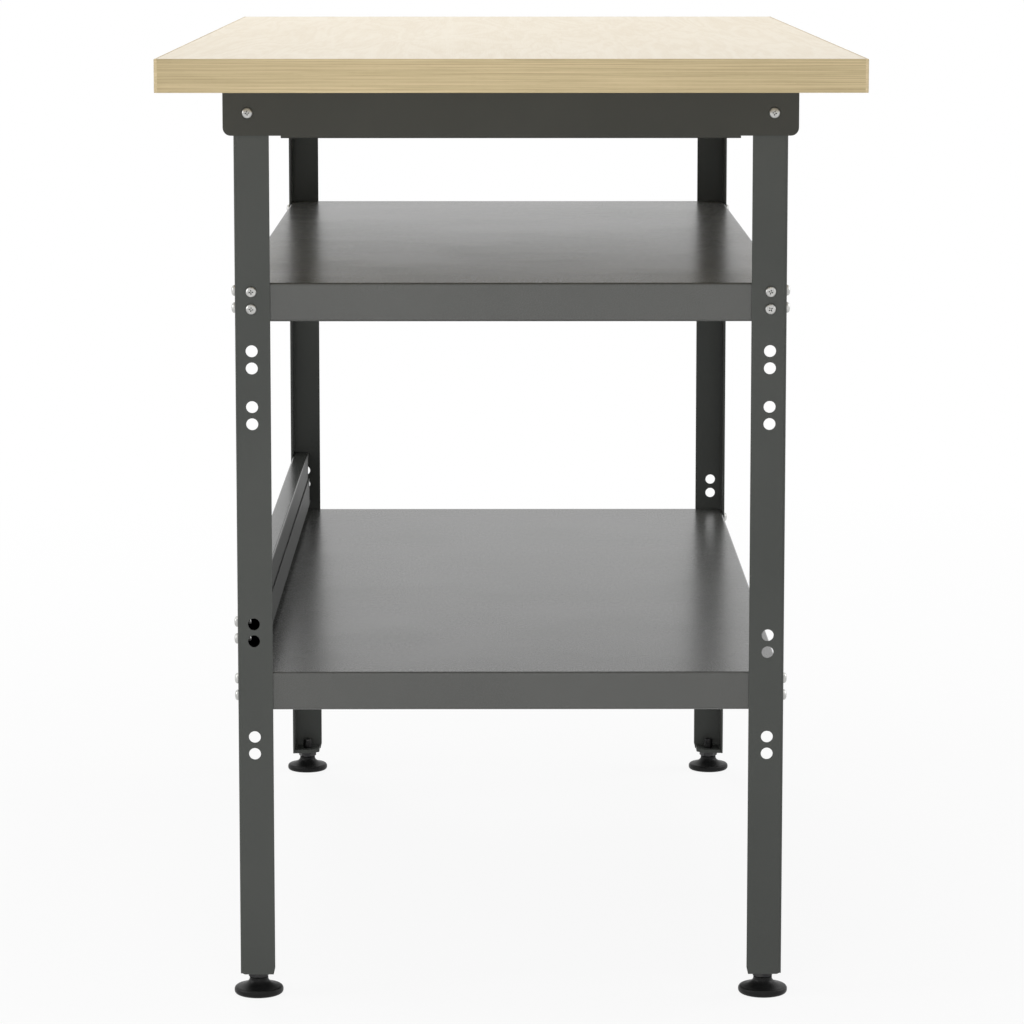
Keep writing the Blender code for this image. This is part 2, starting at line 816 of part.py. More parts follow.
def pad_mesh(material):
    """The plastic pad: a rounded disc that sweeps up into a neck, with the stud's socket."""
    rim_height = PAD_RIM_HEIGHT - PAD_RIM_ROUND * math.sin(math.radians(60))
    profile = [(PAD_RADIUS - PAD_RIM_CHAMFER, 0), (PAD_RADIUS, PAD_RIM_CHAMFER)]
    profile += arc((PAD_RADIUS - PAD_RIM_ROUND, rim_height), PAD_RIM_ROUND, 0, 60, 2)
    profile += pad_sweep()
    profile += [
        (PAD_NECK_RADIUS, PAD_HEIGHT),
        (STUD_RADIUS + GAP, PAD_HEIGHT),
        (STUD_RADIUS + GAP, PAD_SOCKET_FLOOR - GAP),
    ]
    bm = bmesh.new()
    add_turned(bm, profile, PAD_SIDES)
    return make_mesh("foot_pad", bm, material)


def stud_mesh(material):
    """The threaded stud, long enough to stay in the plate at the end of its travel."""
    top = PLATE_BOTTOM + PLATE_THICKNESS + FOOT_TRAVEL + THREAD_PITCH
    profile = [
        (STUD_RADIUS - STUD_CHAMFER, PAD_SOCKET_FLOOR),
        (STUD_RADIUS, PAD_SOCKET_FLOOR + STUD_CHAMFER),
        (STUD_RADIUS, top - STUD_CHAMFER),
        (STUD_RADIUS - STUD_CHAMFER, top),
    ]
    bm = bmesh.new()
    add_turned(bm, profile, STUD_SIDES)
    return make_mesh("foot_stud", bm, material)


def lock_nut_mesh(material):
    """The nut that locks the stud against the foot plate."""
    top = LOCK_NUT_BOTTOM + LOCK_NUT_THICKNESS
    bore = STUD_RADIUS + 2 * GAP
    rings = [
        hex_ring(LOCK_NUT_FLATS, LOCK_NUT_BOTTOM),
        hex_ring(LOCK_NUT_FLATS, top),
        round_ring(bore, top, STUD_SIDES),
        round_ring(bore, LOCK_NUT_BOTTOM, STUD_SIDES),
    ]
    bm = bmesh.new()
    add_rings(bm, rings, is_tube=True)
    return make_mesh("lock_nut", bm, material)


def make_feet(plastic, steel, parent):
    pad = pad_mesh(plastic)
    stud = stud_mesh(steel)
    nut = lock_nut_mesh(steel)
    for corner, (end, side) in CORNERS.items():
        axis = (end * (FRAME_X - FOOT_INSET), side * (FRAME_Y - FOOT_INSET), 0)
        foot = make_empty(f"{corner}_foot", axis, parent)
        place_mesh(f"{corner}_foot_pad", pad, (0, 0, 0), foot)
        place_mesh(f"{corner}_foot_stud", stud, (0, 0, 0), foot)
        place_mesh(f"{corner}_lock_nut", nut, (0, 0, 0), foot)


# The whole bench


def make_bench():
    clear_scene()
    paint = paint_material()
    shelf_paint = shelf_material()
    wood = wood_material()
    zinc = zinc_material()
    black_steel = stud_material()
    plastic = foot_material()
    bench = make_empty("workbench")
    make_board(wood, bench)
    make_end_rail("left_end_rail", -1, paint, bench)
    make_end_rail("right_end_rail", 1, paint, bench)
    make_long_rail("front_rail", -1, paint, bench)
    make_long_rail("rear_rail", 1, paint, bench)
    for corner in CORNERS:
        make_leg(corner, paint, bench)
    make_shelf("upper_shelf", UPPER_SHELF_TOP, True, shelf_paint, bench)
    make_shelf("lower_shelf", LOWER_SHELF_TOP, False, shelf_paint, bench)
    make_brace(paint, bench)
    make_all_bolts(zinc, bench)
    make_feet(plastic, black_steel, bench)


make_bench()
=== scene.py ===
"""Dressed scene of a steel workbench with a wood top: finishes, fine pieces, light and camera."""

import math
import random

import bmesh
import bpy
from mathutils import Matrix, Vector


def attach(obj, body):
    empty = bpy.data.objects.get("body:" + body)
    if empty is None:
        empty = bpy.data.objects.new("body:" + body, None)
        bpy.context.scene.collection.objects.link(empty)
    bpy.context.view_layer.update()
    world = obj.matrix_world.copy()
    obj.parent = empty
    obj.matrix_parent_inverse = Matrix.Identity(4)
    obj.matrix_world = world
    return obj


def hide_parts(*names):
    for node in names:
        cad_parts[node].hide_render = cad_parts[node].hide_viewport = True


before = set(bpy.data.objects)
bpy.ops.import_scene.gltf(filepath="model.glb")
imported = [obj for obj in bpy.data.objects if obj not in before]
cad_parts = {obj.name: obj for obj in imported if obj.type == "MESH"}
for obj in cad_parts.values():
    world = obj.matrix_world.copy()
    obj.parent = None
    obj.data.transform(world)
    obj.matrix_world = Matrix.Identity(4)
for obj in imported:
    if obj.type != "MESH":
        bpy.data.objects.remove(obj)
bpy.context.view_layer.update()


# Legs
#
# Four angles folded from 2 mm steel sheet. Both flanges are punched with pairs of holes for the
# shelves and the brace, the free edges taper at the foot, and all is powder coated dark grey.

CORNERS = {
    "front_left": (-1, -1),
    "front_right": (1, -1),
    "rear_left": (-1, 1),
    "rear_right": (1, 1),
}
FRAME_X = 0.477
FRAME_Y = 0.242
SEAT_GAP = 0.0003
LEG_FLANGE = 0.031
LEG_SHEET = 0.002
LEG_BEND = 0.001
LEG_BOTTOM = 0.0208
LEG_TOP = 0.8142
TOE_WIDTH = 0.0014
TOE_HEIGHT = 0.006
CORNER_NICK = 0.0018
HOLE_INSET = 0.0145
HALF_PITCH = 0.0076
OPEN_HOLE = 0.0053
BOLT_HOLE = 0.0027
RAIL_BOLT_HEIGHT = 0.7912
RAIL_BOLT_INSET = 0.0125
UPPER_PAIR = 0.6270
LOWER_PAIR = 0.2803
OPEN_PAIRS = (0.5747, 0.5253, 0.2298)
FRONT_BRACE_PAIR = 0.3213
REAR_BRACE_PAIR = 0.3315
RUBBED_GLOSS = 0.29


class Socket:
    """A shader socket that can stand in a sum: each operator adds its Math node."""

    def __init__(self, tree, socket=None):
        self.tree = tree
        self.socket = socket

    def node(self, kind, output, settings, inputs):
        """Adds a node: its settings first, then values or links for its inputs."""
        made = self.tree.nodes.new(kind)
        for name, value in settings.items():
            setattr(made, name, value)
        for name, value in inputs.items():
            if isinstance(value, Socket):
                self.tree.links.new(value.socket, made.inputs[name])
            else:
                made.inputs[name].default_value = value
        return Socket(self.tree, made.outputs[output])

    def math(self, operation, *others):
        """A Math node with this value as its first input."""
        values = dict(enumerate((self, *others)))
        return self.node("ShaderNodeMath", 0, {"operation": operation}, values)

    def noise(self, scale, detail=2.0, roughness=0.5, distortion=0.0):
        """Noise at this place."""
        inputs = {
            "Vector": self,
            "Scale": scale,
            "Detail": detail,
            "Roughness": roughness,
            "Distortion": distortion,
        }
        return self.node("ShaderNodeTexNoise", 0, {}, inputs)

    def stretched(self, scale, turn=(0, 0, 0)):
        """This place, scaled and turned, for a pattern that runs longer one way."""
        inputs = {"Vector": self, "Scale": scale, "Rotation": turn}
        return self.node("ShaderNodeMapping", 0, {"vector_type": "POINT"}, inputs)

    def mix(self, low, high):
        """A colour between two, with this value as the share of the second."""
        inputs = {0: self, 6: low, 7: high}
        return self.node("ShaderNodeMix", 2, {"data_type": "RGBA"}, inputs)

    def ramp(self, low, high):
        """This value stretched so that low becomes 0 and high becomes 1."""
        inputs = {"Value": self, "From Min": low, "From Max": high}
        return self.node("ShaderNodeMapRange", 0, {"clamp": True}, inputs)

    def bump(self, strength, distance):
        """This value as a height that bends the surface's normal."""
        inputs = {"Height": self, "Strength": strength, "Distance": distance}
        return self.node("ShaderNodeBump", 0, {}, inputs)

    def feed(self, target):
        self.tree.links.new(self.socket, target)

    def __add__(self, other):
        return self.math("ADD", other)

    def __mul__(self, other):
        return self.math("MULTIPLY", other)

    def __sub__(self, other):
        return self.math("SUBTRACT", other)

    def __rsub__(self, other):
        return self.node("ShaderNodeMath", 0, {"operation": "SUBTRACT"}, {0: other, 1: self})

    __radd__ = __add__
    __rmul__ = __mul__


def new_material(name, roughness, metallic=0.0, specular=0.5):
    """A material, its Principled shader's inputs, and a socket at Object coordinates."""
    material = bpy.data.materials.new(name)
    material.use_nodes = True
    shader = material.node_tree.nodes["Principled BSDF"]
    shader.inputs["Roughness"].default_value = roughness
    shader.inputs["Metallic"].default_value = metallic
    shader.inputs["Specular IOR Level"].default_value = specular
    place = Socket(material.node_tree).node("ShaderNodeTexCoord", "Object", {}, {})
    return material, shader.inputs, place


def powder_coat(name, dark, light, roughness, peel, specular, rubbed_above=None):
    """Baked powder: a faint cloudiness, a fine speckle and the swell of orange peel.

    Above the height rubbed_above, use has rubbed the coat smoother.
    """
    material, inputs, place = new_material(name, roughness, specular=specular)
    cloud = place.noise(7.0, 3.0)
    speckle = place.noise(1500.0, 2.0)
    swell = place.noise(430.0, 2.0)
    tone = cloud.ramp(0.3, 0.7) * 0.65 + speckle.ramp(0.25, 0.75) * 0.35
    tone.mix(dark, light).feed(inputs["Base Color"])
    matt = roughness + (cloud - 0.5) * 0.05 + (speckle - 0.5) * 0.08
    if rubbed_above is not None:
        height = place.node("ShaderNodeSeparateXYZ", "Z", {}, {"Vector": place})
        matt = matt - height.ramp(rubbed_above, rubbed_above + 0.001) * RUBBED_GLOSS
    matt.feed(inputs["Roughness"])
    (swell + speckle * 0.25).bump(peel, 0.00012).feed(inputs["Normal"])
    return material


LEG_PAINT = powder_coat(
    "leg_powder_coat",
    (0.052, 0.055, 0.051, 1),
    (0.065, 0.068, 0.063, 1),
    0.46,
    0.30,
    0.18,
)


def link_piece(name, mesh, material, body, node):
    """Puts a finished mesh in the scene as a piece that rides on a body."""
    mesh.name = name
    mesh.materials.clear()
    mesh.materials.append(material)
    piece = bpy.data.objects.new(name, mesh)
    bpy.context.scene.collection.objects.link(piece)
    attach(piece, body)
    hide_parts(node)


def loose_object(name, bm):
    """An object of the bmesh, in the scene. The bmesh goes."""
    mesh = bpy.data.meshes.new(name)
    bm.to_mesh(mesh)
    bm.free()
    obj = bpy.data.objects.new(name, mesh)
    bpy.context.scene.collection.objects.link(obj)
    return obj


def applied_mesh(obj, cutter=None):
    """The object's mesh with its modifiers applied. The object and its cutter go."""
    layers = bpy.context.evaluated_depsgraph_get()
    mesh = bpy.data.meshes.new_from_object(
        obj.evaluated_get(layers), preserve_all_data_layers=True, depsgraph=layers
    )
    for spent in (obj, cutter):
        if spent is not None:
            bpy.data.objects.remove(spent)
    return mesh


def cut_with(obj, cutter, use_self=False):
    """Cuts the cutter's shape out of the object."""
    cut = obj.modifiers.new("cut", "BOOLEAN")
    cut.operation = "DIFFERENCE"
    cut.solver = "EXACT"
    cut.use_self = use_self
    cut.object = cutter


def shade_evenly(obj, keep_sharp=False):
    """Smooth shading that follows the large faces."""
    even = obj.modifiers.new("even", "WEIGHTED_NORMAL")
    even.weight = 100
    even.keep_sharp = keep_sharp
    for polygon in obj.data.polygons:
        polygon.use_smooth = True


def bevel(bm, edges, radius, segments):
    """Rounds edges of the bmesh."""
    bmesh.ops.bevel(
        bm,
        geom=edges,
        offset=radius,
        offset_type="OFFSET",
        segments=segments,
        profile=0.5,
        affect="EDGES",
        material=-1,
    )


def add_flat(bm, points):
    """One flat of a folded sheet, as its outline."""
    bm.faces.new([bm.verts.new(point) for point in points])


def round_folds(bm, radius):
    """Joins the flats along the edges that they share and rounds those edges."""
    bmesh.ops.remove_doubles(bm, verts=bm.verts, dist=1e-6)
    bmesh.ops.recalc_face_normals(bm, faces=bm.faces)
    bevel(bm, [edge for edge in bm.edges if len(edge.link_faces) == 2], radius, 6)


def face_outward(bm, probe, outward):
    """Turns the flats so that the one nearest the probe faces outward."""
    bmesh.ops.recalc_face_normals(bm, faces=bm.faces)
    nearest = min(bm.faces, key=lambda face: (face.calc_center_median() - probe).length)
    if nearest.normal.dot(outward) < 0:
        bmesh.ops.reverse_faces(bm, faces=bm.faces)


def sheet_mesh(name, bm, sheet, cutters, inward=-1, edge=0.0002):
    """Gives folded flats their thickness, cuts holes, and breaks the sharp edges."""
    obj = loose_object(name, bm)
    solid = obj.modifiers.new("sheet", "SOLIDIFY")
    solid.thickness = sheet
    solid.offset = inward
    solid.use_even_offset = True
    cutter = loose_object(f"{name}_cutter", cutters)
    cut_with(obj, cutter)
    ease = obj.modifiers.new("edges", "BEVEL")
    ease.width = edge
    ease.segments = 2
    ease.limit_method = "ANGLE"
    ease.angle_limit = math.radians(40)
    ease.use_clamp_overlap = True
    shade_evenly(obj)
    return applied_mesh(obj, cutter)


def add_punch(bm, centre, direction, radius, reach, sides=40):
    """A round punch through a sheet."""
    turn = Vector((0, 0, 1)).rotation_difference(Vector(direction)).to_matrix().to_4x4()
    bmesh.ops.create_cone(
        bm,
        cap_ends=True,
        segments=sides,
        radius1=radius,
        radius2=radius,
        depth=2 * reach,
        matrix=Matrix.Translation(centre) @ turn,
    )


def pair_heights(middle):
    """The heights of a pair of holes, by the ending of their bolts' names."""
    return {"_low": middle - HALF_PITCH, "_high": middle + HALF_PITCH}


def leg_punches(end, side):
    """Punches for every hole in a leg. The lower shelf has no holes in the end flange."""
    bm = bmesh.new()
    brace_pair = REAR_BRACE_PAIR if side > 0 else FRONT_BRACE_PAIR
    holes = [(RAIL_BOLT_HEIGHT, RAIL_BOLT_INSET, BOLT_HOLE, BOLT_HOLE)]
    for middle in (*OPEN_PAIRS, brace_pair, UPPER_PAIR, LOWER_PAIR):
        end_hole = side_hole = OPEN_HOLE
        if middle == UPPER_PAIR:
            end_hole = side_hole = BOLT_HOLE
        if middle == REAR_BRACE_PAIR:
            side_hole = BOLT_HOLE
        if middle == LOWER_PAIR:
            end_hole, side_hole = None, BOLT_HOLE
        for height in pair_heights(middle).values():
            holes.append((height, HOLE_INSET, end_hole, side_hole))
    for height, inset, end_hole, side_hole in holes:
        if end_hole:
            centre = (end * FRAME_X, side * (FRAME_Y - inset), height)
            add_punch(bm, centre, (1, 0, 0), end_hole, 2 * LEG_SHEET)
        centre = (end * (FRAME_X - inset), side * FRAME_Y, height)
        add_punch(bm, centre, (0, 1, 0), side_hole, 2 * LEG_SHEET)
    return bm


flange = [
    (0, LEG_BOTTOM + CORNER_NICK),
    (CORNER_NICK + LEG_SHEET, LEG_BOTTOM),
    (LEG_FLANGE - TOE_WIDTH, LEG_BOTTOM),
    (LEG_FLANGE, LEG_BOTTOM + TOE_HEIGHT),
    (LEG_FLANGE, LEG_TOP),
    (0, LEG_TOP),
]
for corner, (end, side) in CORNERS.items():
    flats = bmesh.new()
    add_flat(flats, [(end * FRAME_X, side * (FRAME_Y - across), z) for across, z in flange])
    add_flat(flats, [(end * (FRAME_X - along), side * FRAME_Y, z) for along, z in flange])
    round_folds(flats, LEG_SHEET + LEG_BEND)
    middle = (LEG_BOTTOM + LEG_TOP) / 2
    probe = Vector((end * FRAME_X, side * (FRAME_Y - LEG_FLANGE / 2), middle))
    face_outward(flats, probe, Vector((end, 0, 0)))
    name = f"{corner}_leg_angle"
    mesh = sheet_mesh(name, flats, LEG_SHEET, leg_punches(end, side))
    link_piece(name, mesh, LEG_PAINT, "bench", f"{corner}_leg")


# Foot plates
#
# A 4 mm plate with one cut corner sits in the bottom of each leg, held by two short welds. The
# foot's stud screws through its tapped hole. It is coated together with the leg.

FOOT_INSET = 0.0155
PLATE_THICKNESS = 0.004
PLATE_GAP = 0.0001
PLATE_REACH = 0.029
PLATE_CORNER = 0.008
PLATE_HOLE = 0.0054
PLATE_EDGE = 0.0003
WELD_RADIUS = 0.0016
WELD_LENGTH = 0.018
WELD_START = 0.004
WELD_GAP = 0.0002
WELD_SECTIONS = 28
WELD_RIPPLE = 0.16
WELD_RIPPLE_TURN = 2.4
WELD_END_ROUND = 0.35


def weld_bead(start, direction, outward):
    """A round bead with the ripples that the torch leaves, along one edge."""
    bm = bmesh.new()
    turn = Matrix((direction, outward, Vector((0, 0, 1)))).transposed().to_4x4()
    upright = Matrix.Rotation(math.pi / 2, 4, "Y")
    ring = bmesh.ops.create_circle(
        bm, cap_ends=True, segments=12, radius=WELD_RADIUS, matrix=upright
    )["verts"]
    face = ring[0].link_faces[0]
    for step in range(WELD_SECTIONS):
        made = bmesh.ops.extrude_discrete_faces(bm, faces=[face])
        face = made["faces"][0]
        ripple = 1 + WELD_RIPPLE * math.sin(step * WELD_RIPPLE_TURN)
        ends = math.sin(math.pi * (step + 0.7) / (WELD_SECTIONS + 0.4)) ** WELD_END_ROUND
        for vert in face.verts:
            flat = Vector((0, vert.co.y, vert.co.z))
            flat = flat.normalized() * WELD_RADIUS * ripple * ends
            vert.co = Vector((WELD_LENGTH * (step + 1) / WELD_SECTIONS, flat.y, flat.z))
    bmesh.ops.recalc_face_normals(bm, faces=bm.faces)
    bmesh.ops.transform(bm, matrix=Matrix.Translation(start) @ turn, verts=bm.verts)
    return bm


def add_part(bm, part, matrix=Matrix.Identity(4)):
    """Copies one bmesh into another, moved by the matrix."""
    mesh = bpy.data.meshes.new("part")
    part.to_mesh(mesh)
    mesh.transform(matrix)
    bm.from_mesh(mesh)
    bpy.data.meshes.remove(mesh)


def smooth_mesh(bm, degrees=32):
    """A mesh of the bmesh, smooth but for edges that turn by more than the angle."""
    mesh = bpy.data.meshes.new("mesh")
    bm.to_mesh(mesh)
    bm.free()
    mesh.shade_smooth()
    mesh.set_sharp_from_angle(angle=math.radians(degrees))
    return mesh


for corner, (end, side) in CORNERS.items():
    low = LEG_SHEET + PLATE_GAP
    outline = [
        (low, low),
        (PLATE_REACH, low),
        (PLATE_REACH, PLATE_REACH - PLATE_CORNER),
        (PLATE_REACH - PLATE_CORNER, PLATE_REACH),
        (low, PLATE_REACH),
    ]
    flats = bmesh.new()
    top = LEG_BOTTOM + PLATE_THICKNESS
    spots = [(end * (FRAME_X - along), side * (FRAME_Y - across)) for along, across in outline]
    add_flat(flats, [(x, y, top) for x, y in spots])
    face_outward(flats, Vector((0, 0, top)), Vector((0, 0, 1)))
    punch = bmesh.new()
    centre = (end * (FRAME_X - FOOT_INSET), side * (FRAME_Y - FOOT_INSET), top)
    add_punch(punch, centre, (0, 0, 1), PLATE_HOLE, 2 * PLATE_THICKNESS, 48)
    name = f"{corner}_foot_plate"
    mesh = sheet_mesh(name, flats, PLATE_THICKNESS, punch, edge=PLATE_EDGE)
    link_piece(name, mesh, LEG_PAINT, "bench", f"{corner}_leg")
    welds = bmesh.new()
    inner = LEG_SHEET + WELD_GAP
    fold = Vector((end * (FRAME_X - inner), side * (FRAME_Y - inner), top))
    along_side, along_end = Vector((-end, 0, 0)), Vector((0, -side, 0))
    for direction, outward in ((along_side, along_end), (along_end, along_side)):
        bead = weld_bead(fold + direction * WELD_START, direction, outward)
        add_part(welds, bead)
        bead.free()
    bmesh.ops.recalc_face_normals(welds, faces=welds.faces)
    mesh = smooth_mesh(welds, 50)
    link_piece(f"{corner}_plate_welds", mesh, LEG_PAINT, "bench", f"{corner}_leg")


# Rails under the top
#
# Two end rails and two long rails, each folded from 1.5 mm sheet with a top flange for the board
# and a stiffening lip below, both cut back at the legs. The web's lower corners are rounded.

RAIL_SHEET = 0.0015
RAIL_BEND = 0.0006
RAIL_HEIGHT = 0.045
RAIL_FLANGE = 0.022
RAIL_LIP = 0.012
RAIL_CORNER = 0.007
RAIL_RELIEF = 0.0105
RAIL_STEP = 0.0022
RAIL_PROUD = 0.009
RAIL_BASE = LEG_TOP - RAIL_HEIGHT
SCREW_HOLE = 0.0026
# Painted shade: the rails' coat is painted darker and warmer than the legs' coat, for the shade
# and the warm bounced light under the board's overhang.
RAIL_COAT_PAINTED_SHADE = powder_coat(
    "rail_coat_painted_shade",
    (0.036, 0.036, 0.031, 1),
    (0.045, 0.045, 0.039, 1),
    0.46,
    0.30,
    0.16,
)

TO_RIGHT = Vector((1, 0, 0))
TO_REAR = Vector((0, 1, 0))

# For each rail: the way it faces, its long way, the legs' reach both ways, its own half length,
# and how far from its middle each board screw stands.
END_RAIL = (TO_REAR, FRAME_X, FRAME_Y, FRAME_Y + RAIL_PROUD, (-0.130, 0.130))
LONG_RAIL = (TO_RIGHT, FRAME_Y, FRAME_X, FRAME_X - SEAT_GAP / 2, (-0.320, 0.0, 0.320))
RAILS = {
    "left_end_rail": (-TO_RIGHT, *END_RAIL),
    "right_end_rail": (TO_RIGHT, *END_RAIL),
    "front_rail": (-TO_REAR, *LONG_RAIL),
    "rear_rail": (TO_REAR, *LONG_RAIL),
}


def rail_web(half_length, flange_half):
    """(along, height) round the web, with its rounded lower corners and cut back folds."""
    web = []
    for sign in (1, -1):
        arc = []
        for step in range(7):
            angle = math.radians(15 * step)
            along = half_length - RAIL_CORNER + RAIL_CORNER * math.sin(angle)
            arc.append((sign * along, RAIL_STEP + RAIL_CORNER * (1 - math.cos(angle))))
        half = [(sign * flange_half, 0), (sign * flange_half, RAIL_STEP), *arc]
        half += [
            (sign * half_length, RAIL_HEIGHT - RAIL_STEP),
            (sign * flange_half, RAIL_HEIGHT - RAIL_STEP),
            (sign * flange_half, RAIL_HEIGHT),
        ]
        web += half if sign > 0 else half[::-1]
    return web


def rail_mesh(name, outward, across, legs_out, legs_along, half_length, screws):
    """One rail: its web, top flange and lip, punched for its bolts and board screws."""

    def place(along, height, depth):
        """A point of the rail: along it, up from its base, and inward from its face."""
        out = legs_out + SEAT_GAP + RAIL_SHEET - depth
        return across * along + outward * out + Vector((0, 0, RAIL_BASE + height))

    flange_half = legs_along - LEG_FLANGE - RAIL_RELIEF
    flats = bmesh.new()
    web = rail_web(half_length, flange_half)
    add_flat(flats, [place(along, height, 0) for along, height in web])
    for height, reach in ((0, RAIL_LIP), (RAIL_HEIGHT, RAIL_FLANGE)):
        ends = [(-flange_half, 0), (flange_half, 0), (flange_half, reach), (-flange_half, reach)]
        add_flat(flats, [place(along, height, depth) for along, depth in ends])
    round_folds(flats, RAIL_SHEET + RAIL_BEND)
    face_outward(flats, place(0, RAIL_HEIGHT / 2, 0), outward)
    punches = bmesh.new()
    for sign in (-1, 1):
        centre = place(sign * (legs_along - RAIL_BOLT_INSET), RAIL_BOLT_HEIGHT - RAIL_BASE, 0)
        add_punch(punches, centre, outward, BOLT_HOLE, 2 * RAIL_SHEET, 32)
    for along in screws:
        centre = place(along, RAIL_HEIGHT, RAIL_FLANGE / 2 - SEAT_GAP - RAIL_SHEET)
        add_punch(punches, centre, (0, 0, 1), SCREW_HOLE, 2 * RAIL_SHEET, 32)
    return sheet_mesh(name, flats, RAIL_SHEET, punches)


for name, rail in RAILS.items():
    mesh = rail_mesh(name, *rail)
    link_piece(f"{name}_sheet", mesh, RAIL_COAT_PAINTED_SHADE, "bench", name)


# Shelves
#
# Two trays of 1.2 mm sheet. Each side is folded down into a flange with a lip turned in below it,
# and the corners are notched to clear the legs' folds. Their coat is smoother than the frame's.

SHELF_X = FRAME_X - LEG_SHEET - SEAT_GAP
SHELF_Y = FRAME_Y - LEG_SHEET - SEAT_GAP
UPPER_TOP = 0.6423
LOWER_TOP = 0.2956
SHELF_SHEET = 0.0012
SHELF_BEND = 0.0012
SHELF_FLANGE = 0.034
SHELF_LIP = 0.010
SHELF_NOTCH = 0.0045
LIP_INSET = 0.012
LIP_STEP = 0.003
PUNCH_REACH = 0.003
SHELF_PAINT = powder_coat(
    "shelf_powder_coat",
    (0.060, 0.061, 0.057, 1),
    (0.072, 0.073, 0.068, 1),
    0.27,
    0.02,
    0.50,
)


def add_shelf_side(bm, half, reach, top, across, outward):
    """A flange with its lip, reach from the middle and half its length each way along across."""

    def place(along, out, height):
        return across * along + outward * out + Vector((0, 0, height))

    base = top - SHELF_FLANGE
    ends = half - SHELF_NOTCH
    lip_ends = half - LIP_INSET
    outline = [
        (-ends, top),
        (-ends, base + LIP_STEP),
        (-lip_ends, base + LIP_STEP),
        (-lip_ends, base),
        (lip_ends, base),
        (lip_ends, base + LIP_STEP),
        (ends, base + LIP_STEP),
        (ends, top),
    ]
    add_flat(bm, [place(along, reach, height) for along, height in outline])
    lip = [
        (-lip_ends, 0),
        (lip_ends, 0),
        (lip_ends - SHELF_LIP / 2, SHELF_LIP),
        (-lip_ends + SHELF_LIP / 2, SHELF_LIP),
    ]
    add_flat(bm, [place(along, reach - inward, base) for along, inward in lip])


for name, top, bolt_pair, end_bolts in (
    ("upper_shelf", UPPER_TOP, UPPER_PAIR, True),
    ("lower_shelf", LOWER_TOP, LOWER_PAIR, False),
):
    flats = bmesh.new()
    inner_x = SHELF_X - SHELF_NOTCH
    inner_y = SHELF_Y - SHELF_NOTCH
    deck = []
    for end, side in ((1, -1), (1, 1), (-1, 1), (-1, -1)):
        notch = [
            (end * inner_x, side * SHELF_Y, top),
            (end * inner_x, side * inner_y, top),
            (end * SHELF_X, side * inner_y, top),
        ]
        deck += notch if end * side < 0 else notch[::-1]
    add_flat(flats, deck)
    for sign in (-1, 1):
        add_shelf_side(flats, SHELF_X, SHELF_Y, top, TO_RIGHT, sign * TO_REAR)
        add_shelf_side(flats, SHELF_Y, SHELF_X, top, TO_REAR, sign * TO_RIGHT)
    round_folds(flats, SHELF_SHEET + SHELF_BEND)
    face_outward(flats, Vector((0, 0, top)), Vector((0, 0, 1)))
    punches = bmesh.new()
    for end, side in CORNERS.values():
        for height in pair_heights(bolt_pair).values():
            centre = (end * (FRAME_X - HOLE_INSET), side * SHELF_Y, height)
            add_punch(punches, centre, (0, 1, 0), BOLT_HOLE, PUNCH_REACH, 32)
            if end_bolts:
                centre = (end * SHELF_X, side * (FRAME_Y - HOLE_INSET), height)
                add_punch(punches, centre, (1, 0, 0), BOLT_HOLE, PUNCH_REACH, 32)
    mesh = sheet_mesh(name, flats, SHELF_SHEET, punches)
    link_piece(f"{name}_tray", mesh, SHELF_PAINT, "bench", name)


# Rear brace
#
# One strip of 1.2 mm sheet folded round into a flat channel: its upper edge laps behind the lower
# one, which stands out as a ledge. The lapped front is cut away at the ends to reach the bolts,
# and what is taken off the shelf has rubbed its top smooth.

BRACE_SHEET = 0.0012
BRACE_BEND = 0.0008
BRACE_HEIGHT = 0.057
BRACE_DEPTH = 0.018
BRACE_LEDGE = 0.031
BRACE_LAP = 0.004
BRACE_LAP_GAP = 0.0003
BRACE_LIP_CUT = 0.025
BRACE_CUT_PAST = 0.002
BRACE_BASE = REAR_BRACE_PAIR - BRACE_HEIGHT / 2
BRACE_BACK = FRAME_Y - LEG_SHEET - SEAT_GAP
BRACE_HALF = FRAME_X - LEG_SHEET - LEG_BEND - SEAT_GAP
# Painted shade: the brace's coat is painted much darker than the legs' coat, for the shade it
# stands in under the upper shelf.
BRACE_COAT_PAINTED_SHADE = powder_coat(
    "brace_coat_painted_shade",
    (0.029, 0.031, 0.028, 1),
    (0.037, 0.039, 0.036, 1),
    0.55,
    0.02,
    0.38,
    BRACE_BASE + BRACE_HEIGHT - BRACE_SHEET,
)

middle = BRACE_SHEET / 2
front = BRACE_DEPTH - middle
behind = front - BRACE_SHEET - BRACE_LAP_GAP
section = [
    (behind, BRACE_LEDGE - BRACE_LAP),
    (behind, BRACE_HEIGHT - middle),
    (middle, BRACE_HEIGHT - middle),
    (middle, middle),
    (front, middle),
    (front, BRACE_LEDGE),
]
flats = bmesh.new()
for one, two in zip(section, section[1:]):
    corners = [(-BRACE_HALF, one), (BRACE_HALF, one), (BRACE_HALF, two), (-BRACE_HALF, two)]
    add_flat(flats, [(x, BRACE_BACK - point[0], BRACE_BASE + point[1]) for x, point in corners])
round_folds(flats, BRACE_BEND + middle)
bmesh.ops.recalc_face_normals(flats, faces=flats.faces)
cutters = bmesh.new()
width = BRACE_LIP_CUT + BRACE_CUT_PAST
back_of_cut = BRACE_DEPTH - 2 * BRACE_SHEET - BRACE_LAP_GAP - BRACE_BEND / 2
depth = BRACE_DEPTH + BRACE_CUT_PAST - back_of_cut
height = BRACE_HEIGHT - 2 * (BRACE_SHEET + 2 * BRACE_BEND)
size = Matrix.Diagonal((width, depth, height, 1))
